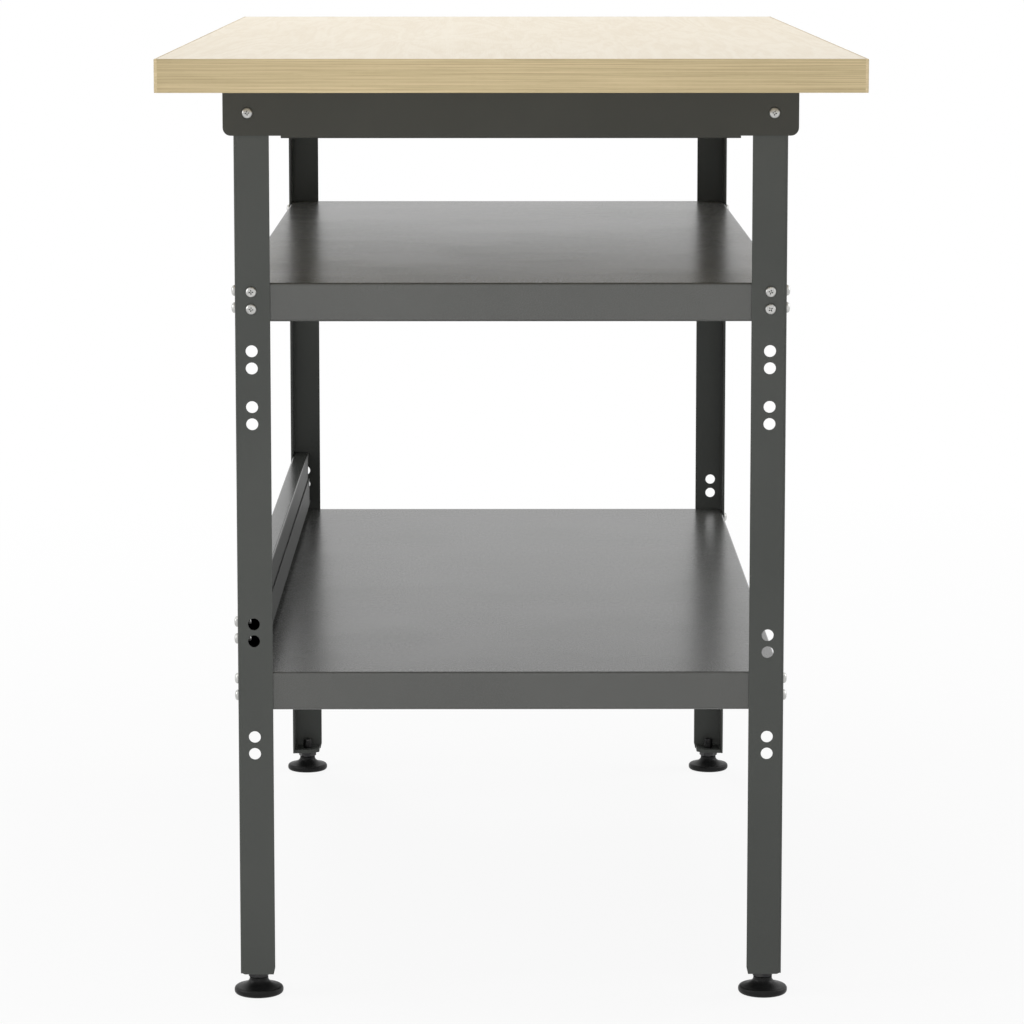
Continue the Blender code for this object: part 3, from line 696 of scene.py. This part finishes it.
for end in (-1, 1):
    centre = (
        end * (BRACE_HALF + BRACE_CUT_PAST - width / 2),
        BRACE_BACK - back_of_cut - depth / 2,
        BRACE_BASE + BRACE_HEIGHT / 2,
    )
    bmesh.ops.create_cube(cutters, size=1, matrix=Matrix.Translation(centre) @ size)
    for bolt_height in pair_heights(REAR_BRACE_PAIR).values():
        centre = (end * (FRAME_X - HOLE_INSET), BRACE_BACK, bolt_height)
        add_punch(cutters, centre, (0, 1, 0), BOLT_HOLE, PUNCH_REACH, 32)
mesh = sheet_mesh("rear_brace", flats, BRACE_SHEET, cutters, inward=0)
link_piece("rear_brace_channel", mesh, BRACE_COAT_PAINTED_SHADE, "bench", "rear_brace")


# Bolts and nuts
#
# M5 machine screws with cross-recessed pan heads, bright zinc plated, each with a hexagon nut run
# on from the inside of the leg. They are driven by hand, so no two heads stand at one angle.

HEAD_RADIUS = 0.00475
HEAD_HEIGHT = 0.0034
HEAD_RIM = 0.0010
HEAD_EASE = 0.0002
HEAD_FULLNESS = 0.8
CROSS_WIDTH = 0.0011
CROSS_LENGTH = 0.0050
CROSS_DEPTH = 0.0019
CROSS_PAST = 0.0006
CROSS_FLOOR_WIDTH = 0.55
CROSS_FLOOR_LENGTH = 0.42
BOLT_RADIUS = 0.0024
BOLT_PITCH = 0.0008
BOLT_THREAD = 0.0005
BOLT_TIP = 0.0034
BOLT_TIP_EASE = 0.0005
NUT_FLATS = 0.008
NUT_THICKNESS = 0.004
NUT_BITE = 0.0002
NUT_FACE_SHARE = 0.475
NUT_EASE = 0.0003
OVERLAP = 0.0001

ZINC, inputs, place = new_material("zinc_plate", 0.27, 1.0)
cloud = place.noise(260.0, 3.0)
grit = place.noise(2600.0, 2.0)
# Painted shade: the plating is darkened in the cross recesses, the thread valleys and the nuts'
# inner corners, where shade falls.
painted_recess_shade = place.node("ShaderNodeNewGeometry", "Pointiness", {}, {}).ramp(0.40, 0.49)
plating = cloud.ramp(0.3, 0.7).mix((0.44, 0.44, 0.43, 1), (0.62, 0.62, 0.60, 1))
painted_recess_shade.mix((0.045, 0.043, 0.040, 1), plating).feed(inputs["Base Color"])
(0.20 + cloud * 0.16 + grit * 0.08).feed(inputs["Roughness"])
grit.bump(0.25, 0.00004).feed(inputs["Normal"])


def spin_section(bm, section, **motion):
    """Spins a line of (radius, height) points round Z."""
    verts = [bm.verts.new((radius, 0, height)) for radius, height in section]
    edges = [bm.edges.new(ends) for ends in zip(verts, verts[1:])]
    bmesh.ops.spin(bm, geom=verts + edges, cent=(0, 0, 0), axis=(0, 0, 1), **motion)


def turned(profile, steps):
    """A solid of revolution round Z from its (radius, height) profile."""
    bm = bmesh.new()
    spin_section(bm, profile, angle=2 * math.pi, steps=steps, use_merge=True)
    bmesh.ops.remove_doubles(bm, verts=bm.verts, dist=1e-7)
    bmesh.ops.recalc_face_normals(bm, faces=bm.faces)
    return bm


def thread(radius, depth, pitch, low, high, steps=28):
    """A right-hand thread: one pitch of its section, spun and lifted, then cut flat."""
    bm = bmesh.new()
    turns = math.ceil((high - low) / pitch) + 2
    base = low - 1.5 * pitch
    shape = [(0, 0), (0.12, 0), (0.46, 1), (0.58, 1), (0.92, 0), (1, 0)]
    section = [(radius - depth + depth * out, base + pitch * along) for along, out in shape]
    lift = (0, 0, pitch / steps)
    spin_section(bm, section, dvec=lift, angle=2 * math.pi * turns, steps=steps * turns)
    bmesh.ops.remove_doubles(bm, verts=bm.verts, dist=1e-6)
    for height, outward in ((low, -1), (high, 1)):
        bmesh.ops.bisect_plane(
            bm,
            geom=bm.verts[:] + bm.edges[:] + bm.faces[:],
            plane_co=(0, 0, height),
            plane_no=(0, 0, outward),
            clear_outer=True,
        )
    rims = [edge for edge in bm.edges if edge.is_boundary]
    bmesh.ops.holes_fill(bm, edges=rims, sides=0)
    bmesh.ops.recalc_face_normals(bm, faces=bm.faces)
    return bm


def turn_down(vert, radius):
    """Brings a vertex that stands out from the Z axis by more than the radius in to it."""
    reach = math.hypot(vert.co.x, vert.co.y)
    if reach > radius:
        vert.co.x *= radius / reach
        vert.co.y *= radius / reach


def hex_nut(flats, low, high, bore):
    """A hexagon nut whose corners are turned down at both faces."""
    bm = bmesh.new()
    face_radius = flats * NUT_FACE_SHARE
    slope = math.tan(math.radians(30))

    def hexagon(angle):
        return flats / 2 / math.cos(angle % (math.pi / 3) - math.pi / 6)

    def turned_down(angle):
        return max(0.0, hexagon(angle) - face_radius) * slope

    rings = [
        (lambda angle: bore, lambda angle: low + NUT_EASE),
        (lambda angle: bore + NUT_EASE, lambda angle: low),
        (lambda angle: face_radius, lambda angle: low),
        (hexagon, lambda angle: low + turned_down(angle)),
        (hexagon, lambda angle: high - turned_down(angle)),
        (lambda angle: face_radius, lambda angle: high),
        (lambda angle: bore + NUT_EASE, lambda angle: high),
        (lambda angle: bore, lambda angle: high - NUT_EASE),
    ]
    ring_verts = bmesh.ops.create_circle(bm, segments=48, radius=bore)["verts"]
    ring_edges = list(bm.edges)
    for index, (radius, height) in enumerate(rings):
        if index:
            made = bmesh.ops.extrude_edge_only(bm, edges=ring_edges)["geom"]
            ring_verts = [item for item in made if isinstance(item, bmesh.types.BMVert)]
            keep = set(ring_verts)
            ring_edges = [
                item
                for item in made
                if isinstance(item, bmesh.types.BMEdge) and set(item.verts) <= keep
            ]
        for vert in ring_verts:
            angle = math.atan2(vert.co.y, vert.co.x) % (2 * math.pi)
            if math.isclose(angle, 2 * math.pi, abs_tol=1e-5):
                angle = 0.0
            reach = radius(angle)
            vert.co = (reach * math.cos(angle), reach * math.sin(angle), height(angle))
    rims = [edge for edge in bm.edges if edge.is_boundary]
    bmesh.ops.bridge_loops(bm, edges=rims)
    bmesh.ops.recalc_face_normals(bm, faces=bm.faces)
    return bm


def pan_head():
    """A domed head whose seat is at z = 0, with its cross recess cut in the crown."""
    profile = [(0, 0), (HEAD_RADIUS - HEAD_EASE, 0), (HEAD_RADIUS, HEAD_EASE)]
    profile.append((HEAD_RADIUS, HEAD_RIM))
    for step in range(1, 8):
        angle = math.radians(90 * step / 8)
        height = HEAD_RIM + (HEAD_HEIGHT - HEAD_RIM) * math.sin(angle)
        profile.append((HEAD_RADIUS * math.cos(angle) ** HEAD_FULLNESS, height))
    profile.append((0, HEAD_HEIGHT))
    head = loose_object("head", turned(profile, 48))
    cross = bmesh.new()
    for turn in (0, math.pi / 2):
        wing = bmesh.new()
        bmesh.ops.create_cube(wing, size=1)
        for vert in wing.verts:
            low = vert.co.z < 0
            vert.co.x *= CROSS_LENGTH * (CROSS_FLOOR_LENGTH if low else 1.0)
            vert.co.y *= CROSS_WIDTH * (CROSS_FLOOR_WIDTH if low else 1.0)
            vert.co.z = HEAD_HEIGHT + (-CROSS_DEPTH if low else CROSS_PAST)
        add_part(cross, wing, Matrix.Rotation(turn, 4, "Z"))
        wing.free()
    cutter = loose_object("cross", cross)
    cut_with(head, cutter, use_self=True)
    made = bmesh.new()
    mesh = applied_mesh(head, cutter)
    made.from_mesh(mesh)
    bpy.data.meshes.remove(mesh)
    return made


HEAD = pan_head()
spread = random.Random(11)


def bolt_with_nut(grip):
    """A bolt along +Z with its head's seat at the origin, and its nut."""
    bm = bmesh.new()
    down = Matrix.Translation((0, 0, -SEAT_GAP)) @ Matrix.Rotation(math.pi, 4, "X")
    add_part(bm, HEAD, down)
    nut_low = grip + SEAT_GAP
    nut_high = nut_low + NUT_THICKNESS
    tip = nut_high + BOLT_TIP
    shank = thread(BOLT_RADIUS, BOLT_THREAD, BOLT_PITCH, -SEAT_GAP - OVERLAP, tip)
    for vert in shank.verts:
        turn_down(vert, BOLT_RADIUS - max(0.0, vert.co.z - (tip - BOLT_TIP_EASE)))
    add_part(bm, shank)
    shank.free()
    nut = hex_nut(NUT_FLATS, nut_low, nut_high, BOLT_RADIUS - NUT_BITE)
    add_part(bm, nut, Matrix.Rotation(spread.uniform(0, 1), 4, "Z"))
    nut.free()
    return bm


def set_bolts(group, grip, heights, inset, outer, on_ends, corners):
    """Puts a group's bolts through the legs' end flanges or side flanges."""
    model = bolt_with_nut(grip)
    for corner in corners:
        end, side = CORNERS[corner]
        for suffix, height in heights.items():
            if on_ends:
                seat = Vector((end * (FRAME_X + outer), side * (FRAME_Y - inset), height))
                inward = Vector((-end, 0, 0))
            else:
                seat = Vector((end * (FRAME_X - inset), side * (FRAME_Y + outer), height))
                inward = Vector((0, -side, 0))
            turn = Vector((0, 0, 1)).rotation_difference(inward).to_matrix().to_4x4()
            spin = Matrix.Rotation(spread.uniform(0, math.pi), 4, "Z")
            bm = bmesh.new()
            add_part(bm, model, Matrix.Translation(seat) @ turn @ spin)
            node = f"{corner}_{group}_bolt{suffix}"
            link_piece(f"{node}_set", smooth_mesh(bm), ZINC, "bench", node)
    model.free()


RAIL_OUTER = RAIL_SHEET + SEAT_GAP
RAIL_GRIP = RAIL_OUTER + LEG_SHEET
SHELF_GRIP = LEG_SHEET + SEAT_GAP + SHELF_SHEET
BRACE_GRIP = LEG_SHEET + SEAT_GAP + BRACE_SHEET
rail_height = {"": RAIL_BOLT_HEIGHT}
rear = ("rear_left", "rear_right")
set_bolts("end_rail", RAIL_GRIP, rail_height, RAIL_BOLT_INSET, RAIL_OUTER, True, CORNERS)
set_bolts("long_rail", RAIL_GRIP, rail_height, RAIL_BOLT_INSET, RAIL_OUTER, False, CORNERS)
upper_heights = pair_heights(UPPER_PAIR)
set_bolts("upper_shelf_end", SHELF_GRIP, upper_heights, HOLE_INSET, 0, True, CORNERS)
set_bolts("upper_shelf_side", SHELF_GRIP, upper_heights, HOLE_INSET, 0, False, CORNERS)
set_bolts("lower_shelf", SHELF_GRIP, pair_heights(LOWER_PAIR), HOLE_INSET, 0, False, CORNERS)
set_bolts("brace", BRACE_GRIP, pair_heights(REAR_BRACE_PAIR), HOLE_INSET, 0, False, rear)


# Board screws
#
# Short wood screws with the same cross-recessed heads, driven up through the rails' top flanges
# into the board. They are only seen from below.

SCREW_RADIUS = 0.0020
SCREW_THREAD = 0.0006
SCREW_PITCH = 0.0016
SCREW_BITE = 0.016
SCREW_POINT = 0.004
SCREW_POINT_TAPER = 0.85
SCREW_HEAD_WIDTH = 0.88
SCREW_HEAD_HEIGHT = 0.64

screw = bmesh.new()
small = Matrix.Diagonal((SCREW_HEAD_WIDTH, SCREW_HEAD_WIDTH, SCREW_HEAD_HEIGHT, 1))
add_part(screw, HEAD, Matrix.Rotation(math.pi, 4, "X") @ small)
HEAD.free()
shank = thread(SCREW_RADIUS, SCREW_THREAD, SCREW_PITCH, OVERLAP, SCREW_BITE, 24)
for vert in shank.verts:
    taper = max(0.0, (vert.co.z - SCREW_BITE + SCREW_POINT) / SCREW_POINT)
    vert.co.x *= 1 - SCREW_POINT_TAPER * taper
    vert.co.y *= 1 - SCREW_POINT_TAPER * taper
add_part(screw, shank)
shank.free()
seat = Vector((0, 0, LEG_TOP - RAIL_SHEET))
for name, (outward, across, legs_out, *_, screws) in RAILS.items():
    bm = bmesh.new()
    for along in screws:
        centre = across * along + outward * (legs_out - RAIL_FLANGE / 2) + seat
        spin = Matrix.Rotation(spread.uniform(0, math.pi), 4, "Z")
        add_part(bm, screw, Matrix.Translation(centre) @ spin)
    link_piece(f"{name}_screws", smooth_mesh(bm), ZINC, "bench", name)
screw.free()


# Foot studs and lock nuts
#
# An M10 threaded stud stands in each pad and screws through the leg's plate. A thin hexagon nut
# is run up under the plate to lock it. Both are blackened steel with a trace of oil.

STUD_RADIUS = 0.0049
STUD_THREAD = 0.0009
STUD_PITCH = 0.0015
STUD_LOW = 0.0050
STUD_HIGH = 0.0343
STUD_EASE = 0.0010
LOCK_NUT_LOW = 0.0155
LOCK_NUT_HIGH = 0.0205
LOCK_NUT_FLATS = 0.017
LOCK_NUT_PLAY = 0.0002

BLACK_STEEL, inputs, place = new_material("blackened_steel", 0.36, 1.0)
oxide = place.noise(180.0, 3.0)
grit = place.noise(2200.0, 2.0)
skin = oxide.ramp(0.3, 0.7).mix((0.030, 0.030, 0.032, 1), (0.062, 0.061, 0.060, 1))
skin.feed(inputs["Base Color"])
(0.28 + oxide * 0.12 + grit * 0.08).feed(inputs["Roughness"])
grit.bump(0.25, 0.00004).feed(inputs["Normal"])


def foot_axis(corner):
    """The place of a corner's foot on the floor."""
    end, side = CORNERS[corner]
    return Matrix.Translation((end * (FRAME_X - FOOT_INSET), side * (FRAME_Y - FOOT_INSET), 0))


stud = thread(STUD_RADIUS, STUD_THREAD, STUD_PITCH, STUD_LOW, STUD_HIGH, 40)
for vert in stud.verts:
    past = max(vert.co.z - (STUD_HIGH - STUD_EASE), STUD_LOW + STUD_EASE - vert.co.z, 0.0)
    turn_down(vert, STUD_RADIUS - past)
nut = hex_nut(LOCK_NUT_FLATS, LOCK_NUT_LOW, LOCK_NUT_HIGH, STUD_RADIUS + LOCK_NUT_PLAY)
for corner in CORNERS:
    bm = bmesh.new()
    add_part(bm, stud, foot_axis(corner))
    node = f"{corner}_foot_stud"
    mesh = smooth_mesh(bm)
    link_piece(f"{node}_thread", mesh, BLACK_STEEL, f"{corner}_stud", node)
    bm = bmesh.new()
    add_part(bm, nut, foot_axis(corner) @ Matrix.Rotation(spread.uniform(0, 1), 4, "Z"))
    node = f"{corner}_lock_nut"
    link_piece(f"{node}_hex", smooth_mesh(bm, 20), BLACK_STEEL, "bench", node)
stud.free()
nut.free()


# Foot pads
#
# Glass-filled black plastic, moulded in one piece: a broad rounded disc that sweeps up into the
# neck that holds the stud. Its skin has a slight satin grain from the mould.

PAD_RADIUS = 0.0220
PAD_RIM_HEIGHT = 0.0066
PAD_RIM_ROUND = 0.0030
PAD_FOOT_ROUND = 0.0030
PAD_NECK = 0.0084
PAD_NECK_LENGTH = 0.0012
PAD_HEIGHT = 0.0152
PAD_SWEEP_STEPS = 14
PAD_TOP_ROUND = 0.0005
PAD_TOP_CREST = 0.00015
SOCKET_RADIUS = 0.0052
SOCKET_FLOOR = 0.0047
SOCKET_EASE = 0.0003

BLACK_PLASTIC, inputs, place = new_material("moulded_black_plastic", 0.38, specular=0.16)
grain = place.noise(1900.0, 3.0)
flow = place.noise(60.0, 2.0)
black = (grain * 0.4 + flow * 0.6).ramp(0.3, 0.7)
black.mix((0.005, 0.005, 0.005, 1), (0.010, 0.010, 0.010, 1)).feed(inputs["Base Color"])
(0.30 + flow * 0.12 + grain * 0.10).feed(inputs["Roughness"])
grain.bump(0.30, 0.00006).feed(inputs["Normal"])

profile = [(0, 0), (PAD_RADIUS - PAD_FOOT_ROUND, 0)]
for step in range(1, 7):
    angle = math.radians(15 * step)
    radius = PAD_RADIUS - PAD_FOOT_ROUND * (1 - math.sin(angle))
    profile.append((radius, PAD_FOOT_ROUND * (1 - math.cos(angle))))
rim_middle = PAD_RIM_HEIGHT - PAD_RIM_ROUND * math.sin(math.radians(60))
for step in range(7):
    angle = math.radians(10 * step)
    radius = PAD_RADIUS - PAD_RIM_ROUND + PAD_RIM_ROUND * math.cos(angle)
    profile.append((radius, rim_middle + PAD_RIM_ROUND * math.sin(angle)))
rim_radius = PAD_RADIUS - PAD_RIM_ROUND / 2
neck_rise = PAD_HEIGHT - PAD_NECK_LENGTH - PAD_RIM_HEIGHT
first = math.radians(20)
for step in range(1, PAD_SWEEP_STEPS + 1):
    angle = first + (math.pi / 2 - first) * step / PAD_SWEEP_STEPS
    inward = (math.sin(angle) - math.sin(first)) / (1 - math.sin(first))
    upward = (math.cos(first) - math.cos(angle)) / math.cos(first)
    radius = rim_radius + (PAD_NECK - rim_radius) * inward
    profile.append((radius, PAD_RIM_HEIGHT + neck_rise * upward))
profile += [
    (PAD_NECK, PAD_HEIGHT - PAD_TOP_ROUND),
    (PAD_NECK - PAD_TOP_CREST, PAD_HEIGHT - PAD_TOP_CREST),
    (PAD_NECK - PAD_TOP_ROUND, PAD_HEIGHT),
    (SOCKET_RADIUS + SOCKET_EASE, PAD_HEIGHT),
    (SOCKET_RADIUS, PAD_HEIGHT - SOCKET_EASE),
    (SOCKET_RADIUS, SOCKET_FLOOR),
    (0, SOCKET_FLOOR),
]
pad = turned(profile, 72)
for corner in CORNERS:
    bm = bmesh.new()
    add_part(bm, pad, foot_axis(corner))
    mesh = smooth_mesh(bm, 40)
    node = f"{corner}_foot_pad"
    link_piece(f"{node}_moulding", mesh, BLACK_PLASTIC, f"{corner}_pad", node)
pad.free()


# Top board
#
# A 28.5 mm board faced above and below with pale wood, its grain along the length. Thin strips
# of a darker wood are glued round the four edges, the long ones covering the short ones' ends.

BOARD_LENGTH = 1.2
BOARD_WIDTH = 0.6
BOARD_TOP = 0.843
BOARD_BOTTOM = 0.8145
END_BAND = 0.0010
LONG_BAND = 0.0026
BAND_ROUND = 0.0007
PANEL_ROUND = 0.0001


def wood(name, turn, light, dark, roughness, streaks, lines, soft):
    """Pale wood whose grain runs along X once the pattern is turned.

    soft is where the darkening of a growth ring begins: near 0 wide, near 0.5 a thin line.
    """
    material, inputs, place = new_material(name, roughness)
    along = place.stretched((1, 1, 1), turn)
    rings = along.stretched((0.9, 9.0, lines)).noise(2.2, 4.0, 0.55, 0.6)
    bands = ((rings * streaks).math("FRACT") - 0.5).math("ABSOLUTE").ramp(soft, 0.5)
    fibre = along.stretched((14.0, 900.0, 900.0)).noise(1.0, 3.0, 0.6)
    pores = along.stretched((110.0, 2300.0, 2300.0)).noise(1.0, 1.0).ramp(0.62, 0.74)
    blush = along.stretched((1.2, 3.0, 3.0)).noise(2.0, 2.0)
    tone = bands * 0.34 + fibre.ramp(0.25, 0.75) * 0.30 + blush.ramp(0.3, 0.7) * 0.22
    (tone + pores * 0.14).mix(light, dark).feed(inputs["Base Color"])
    (roughness + (fibre - 0.5) * 0.10 + pores * 0.08).feed(inputs["Roughness"])
    (0.5 - fibre * 0.4 - pores * 0.6).bump(0.20, 0.00008).feed(inputs["Normal"])
    return material


FACE_WOOD = wood(
    "board_face_wood",
    (0, 0, 0),
    (0.850, 0.765, 0.610, 1),
    (0.700, 0.585, 0.405, 1),
    0.36,
    7.0,
    9.0,
    0.05,
)
END_WOOD = wood(
    "end_band_wood",
    (0, 0, math.pi / 2),
    (0.640, 0.515, 0.306, 1),
    (0.245, 0.190, 0.088, 1),
    0.44,
    2.0,
    300.0,
    0.26,
)
SIDE_WOOD = wood(
    "side_band_wood",
    (0, 0, 0),
    (0.680, 0.560, 0.360, 1),
    (0.400, 0.315, 0.170, 1),
    0.44,
    2.0,
    300.0,
    0.20,
)


def slab(name, low, high, rounded, radius, material):
    """A flat piece of the board. rounded tells from an edge's two ends if it is rounded."""
    bm = bmesh.new()
    centre = [(least + most) / 2 for least, most in zip(low, high)]
    size = Matrix.Diagonal([most - least for least, most in zip(low, high)] + [1])
    bmesh.ops.create_cube(bm, size=1, matrix=Matrix.Translation(centre) @ size)
    edges = [edge for edge in bm.edges if rounded(edge.verts[0].co, edge.verts[1].co)]
    bevel(bm, edges, radius, 4)
    bmesh.ops.recalc_face_normals(bm, faces=bm.faces)
    for edge in bm.edges:
        edge.smooth = edge.calc_face_angle() < math.pi / 4
    obj = loose_object(name, bm)
    shade_evenly(obj, keep_sharp=True)
    link_piece(name, applied_mesh(obj), material, "bench", "top_board")


def near(one, two):
    return abs(one - two) < 1e-5


half_x = BOARD_LENGTH / 2
half_y = BOARD_WIDTH / 2
slab(
    "top_board_panel",
    (-half_x + END_BAND, -half_y + LONG_BAND, BOARD_BOTTOM),
    (half_x - END_BAND, half_y - LONG_BAND, BOARD_TOP),
    lambda one, two: True,
    PANEL_ROUND,
    FACE_WOOD,
)
for side, name in ((-1, "front_edge_band"), (1, "rear_edge_band")):
    outer = side * half_y
    inner = side * (half_y - LONG_BAND)
    slab(
        name,
        (-half_x, min(outer, inner), BOARD_BOTTOM),
        (half_x, max(outer, inner), BOARD_TOP),
        lambda one, two, outer=outer: near(one.y, outer) and near(two.y, outer),
        BAND_ROUND,
        SIDE_WOOD,
    )
for end, name in ((-1, "left_edge_band"), (1, "right_edge_band")):
    outer = end * half_x
    inner = end * (half_x - END_BAND)
    slab(
        name,
        (min(outer, inner), -half_y + LONG_BAND, BOARD_BOTTOM),
        (max(outer, inner), half_y - LONG_BAND, BOARD_TOP),
        lambda one, two, outer=outer: (
            near(one.x, outer) and near(two.x, outer) and near(one.z, two.z)
        ),
        BAND_ROUND,
        END_WOOD,
    )


# Floor, light and camera
#
# A pale studio floor that fades to white away from the bench and keeps its soft shadow, large soft
# lamps above, at both ends and at both sides, and the camera at the left end, a little above the
# top.

FLOOR_RADIUS = 90
FLOOR_SHOWN = 0.90
FLOOR_BOUNCED = 0.12
FADE_START = 0.9
FADE_END = 2.6
WORLD_LIGHT = 0.21


def cleared(owner):
    """An empty node tree for a material or a world."""
    owner.use_nodes = True
    owner.node_tree.nodes.clear()
    return Socket(owner.node_tree)


def plainly_seen(tree):
    """1 for what the camera sees, also in a mirror or through glass, and 0 for bounced light."""
    rays = tree.nodes.new("ShaderNodeLightPath")
    kinds = ("Is Camera Ray", "Is Glossy Ray", "Is Transmission Ray")
    seen, mirrored, through = (Socket(tree, rays.outputs[kind]) for kind in kinds)
    return (seen + mirrored + through).math("MINIMUM", 1.0)


def finish_surface(share, unseen, seen, output):
    """Mixes two shaders by the share of the second and feeds the tree's output."""
    both = share.node("ShaderNodeMixShader", 0, {}, {0: share, 1: unseen, 2: seen})
    both.feed(both.tree.nodes.new(output).inputs["Surface"])


bm = bmesh.new()
bmesh.ops.create_circle(bm, cap_ends=True, segments=96, radius=FLOOR_RADIUS)
floor = loose_object("floor", bm)
material = bpy.data.materials.new("studio_floor")
here = cleared(material)
spot = here.node("ShaderNodeTexCoord", "Object", {}, {})
away = here.node("ShaderNodeVectorMath", "Value", {"operation": "LENGTH"}, {0: spot})
fade = away.ramp(FADE_START, FADE_END)
plain = plainly_seen(here.tree)
share = plain * (FLOOR_SHOWN + fade * (1 - FLOOR_SHOWN)) + (1 - plain) * FLOOR_BOUNCED
diffuse = here.node("ShaderNodeBsdfDiffuse", 0, {}, {"Color": (0.86, 0.86, 0.86, 1)})
glow = here.node("ShaderNodeEmission", 0, {}, {"Color": (1, 1, 1, 1), "Strength": 1.0})
finish_surface(share, diffuse, glow, "ShaderNodeOutputMaterial")
floor.data.materials.append(material)

world = bpy.data.worlds.new("studio")
bpy.context.scene.world = world
here = cleared(world)
soft_light = {"Color": (0.97, 0.98, 1, 1), "Strength": WORLD_LIGHT}
soft = here.node("ShaderNodeBackground", 0, {}, soft_light)
white = here.node("ShaderNodeBackground", 0, {}, {"Color": (1, 1, 1, 1), "Strength": 1.0})
finish_surface(plainly_seen(here.tree), soft, white, "ShaderNodeOutputWorld")


def soft_lamp(name, place, target, width, height, power, mirrored=True):
    """A rectangular lamp turned to its target. mirrored tells if shiny faces show it."""
    data = bpy.data.lights.new(name, "AREA")
    data.shape = "RECTANGLE"
    data.size = width
    data.size_y = height
    data.energy = power
    lamp = bpy.data.objects.new(name, data)
    lamp.location = place
    lamp.visible_glossy = mirrored
    lamp.rotation_mode = "QUATERNION"
    lamp.rotation_quaternion = (Vector(target) - Vector(place)).to_track_quat("-Z", "Y")
    bpy.context.scene.collection.objects.link(lamp)


soft_lamp("overhead", (0.0, 0.0, 3.2), (0, 0, 0.8), 3.0, 2.0, 36)
soft_lamp("near_end", (-2.2, 0.1, 0.44), (0, 0, 0.30), 1.2, 0.8, 20, False)
soft_lamp("far_end", (3.0, 0.9, 1.9), (0, 0, 0.5), 1.6, 1.6, 36, False)
soft_lamp("front_side", (0.6, -3.0, 1.8), (0, 0, 0.5), 2.0, 1.6, 31)
soft_lamp("rear_side", (-0.6, 3.0, 1.8), (0, 0, 0.5), 2.0, 1.6, 30)

camera_data = bpy.data.cameras.new("camera")
camera = bpy.data.objects.new("camera", camera_data)
bpy.context.scene.collection.objects.link(camera)
camera_data.sensor_width = 36
camera_data.lens = 139.22
camera_data.shift_y = -0.10
yaw = math.radians(-0.222)
pitch = math.radians(-7.352)
look = Vector((math.cos(pitch) * math.cos(yaw), math.cos(pitch) * math.sin(yaw), math.sin(pitch)))
camera.location = (-3.92965, 0.01242, 0.97619)
camera.rotation_mode = "QUATERNION"
camera.rotation_quaternion = look.to_track_quat("-Z", "Y")
bpy.context.scene.camera = camera
bpy.context.scene.view_settings.view_transform = "Standard"
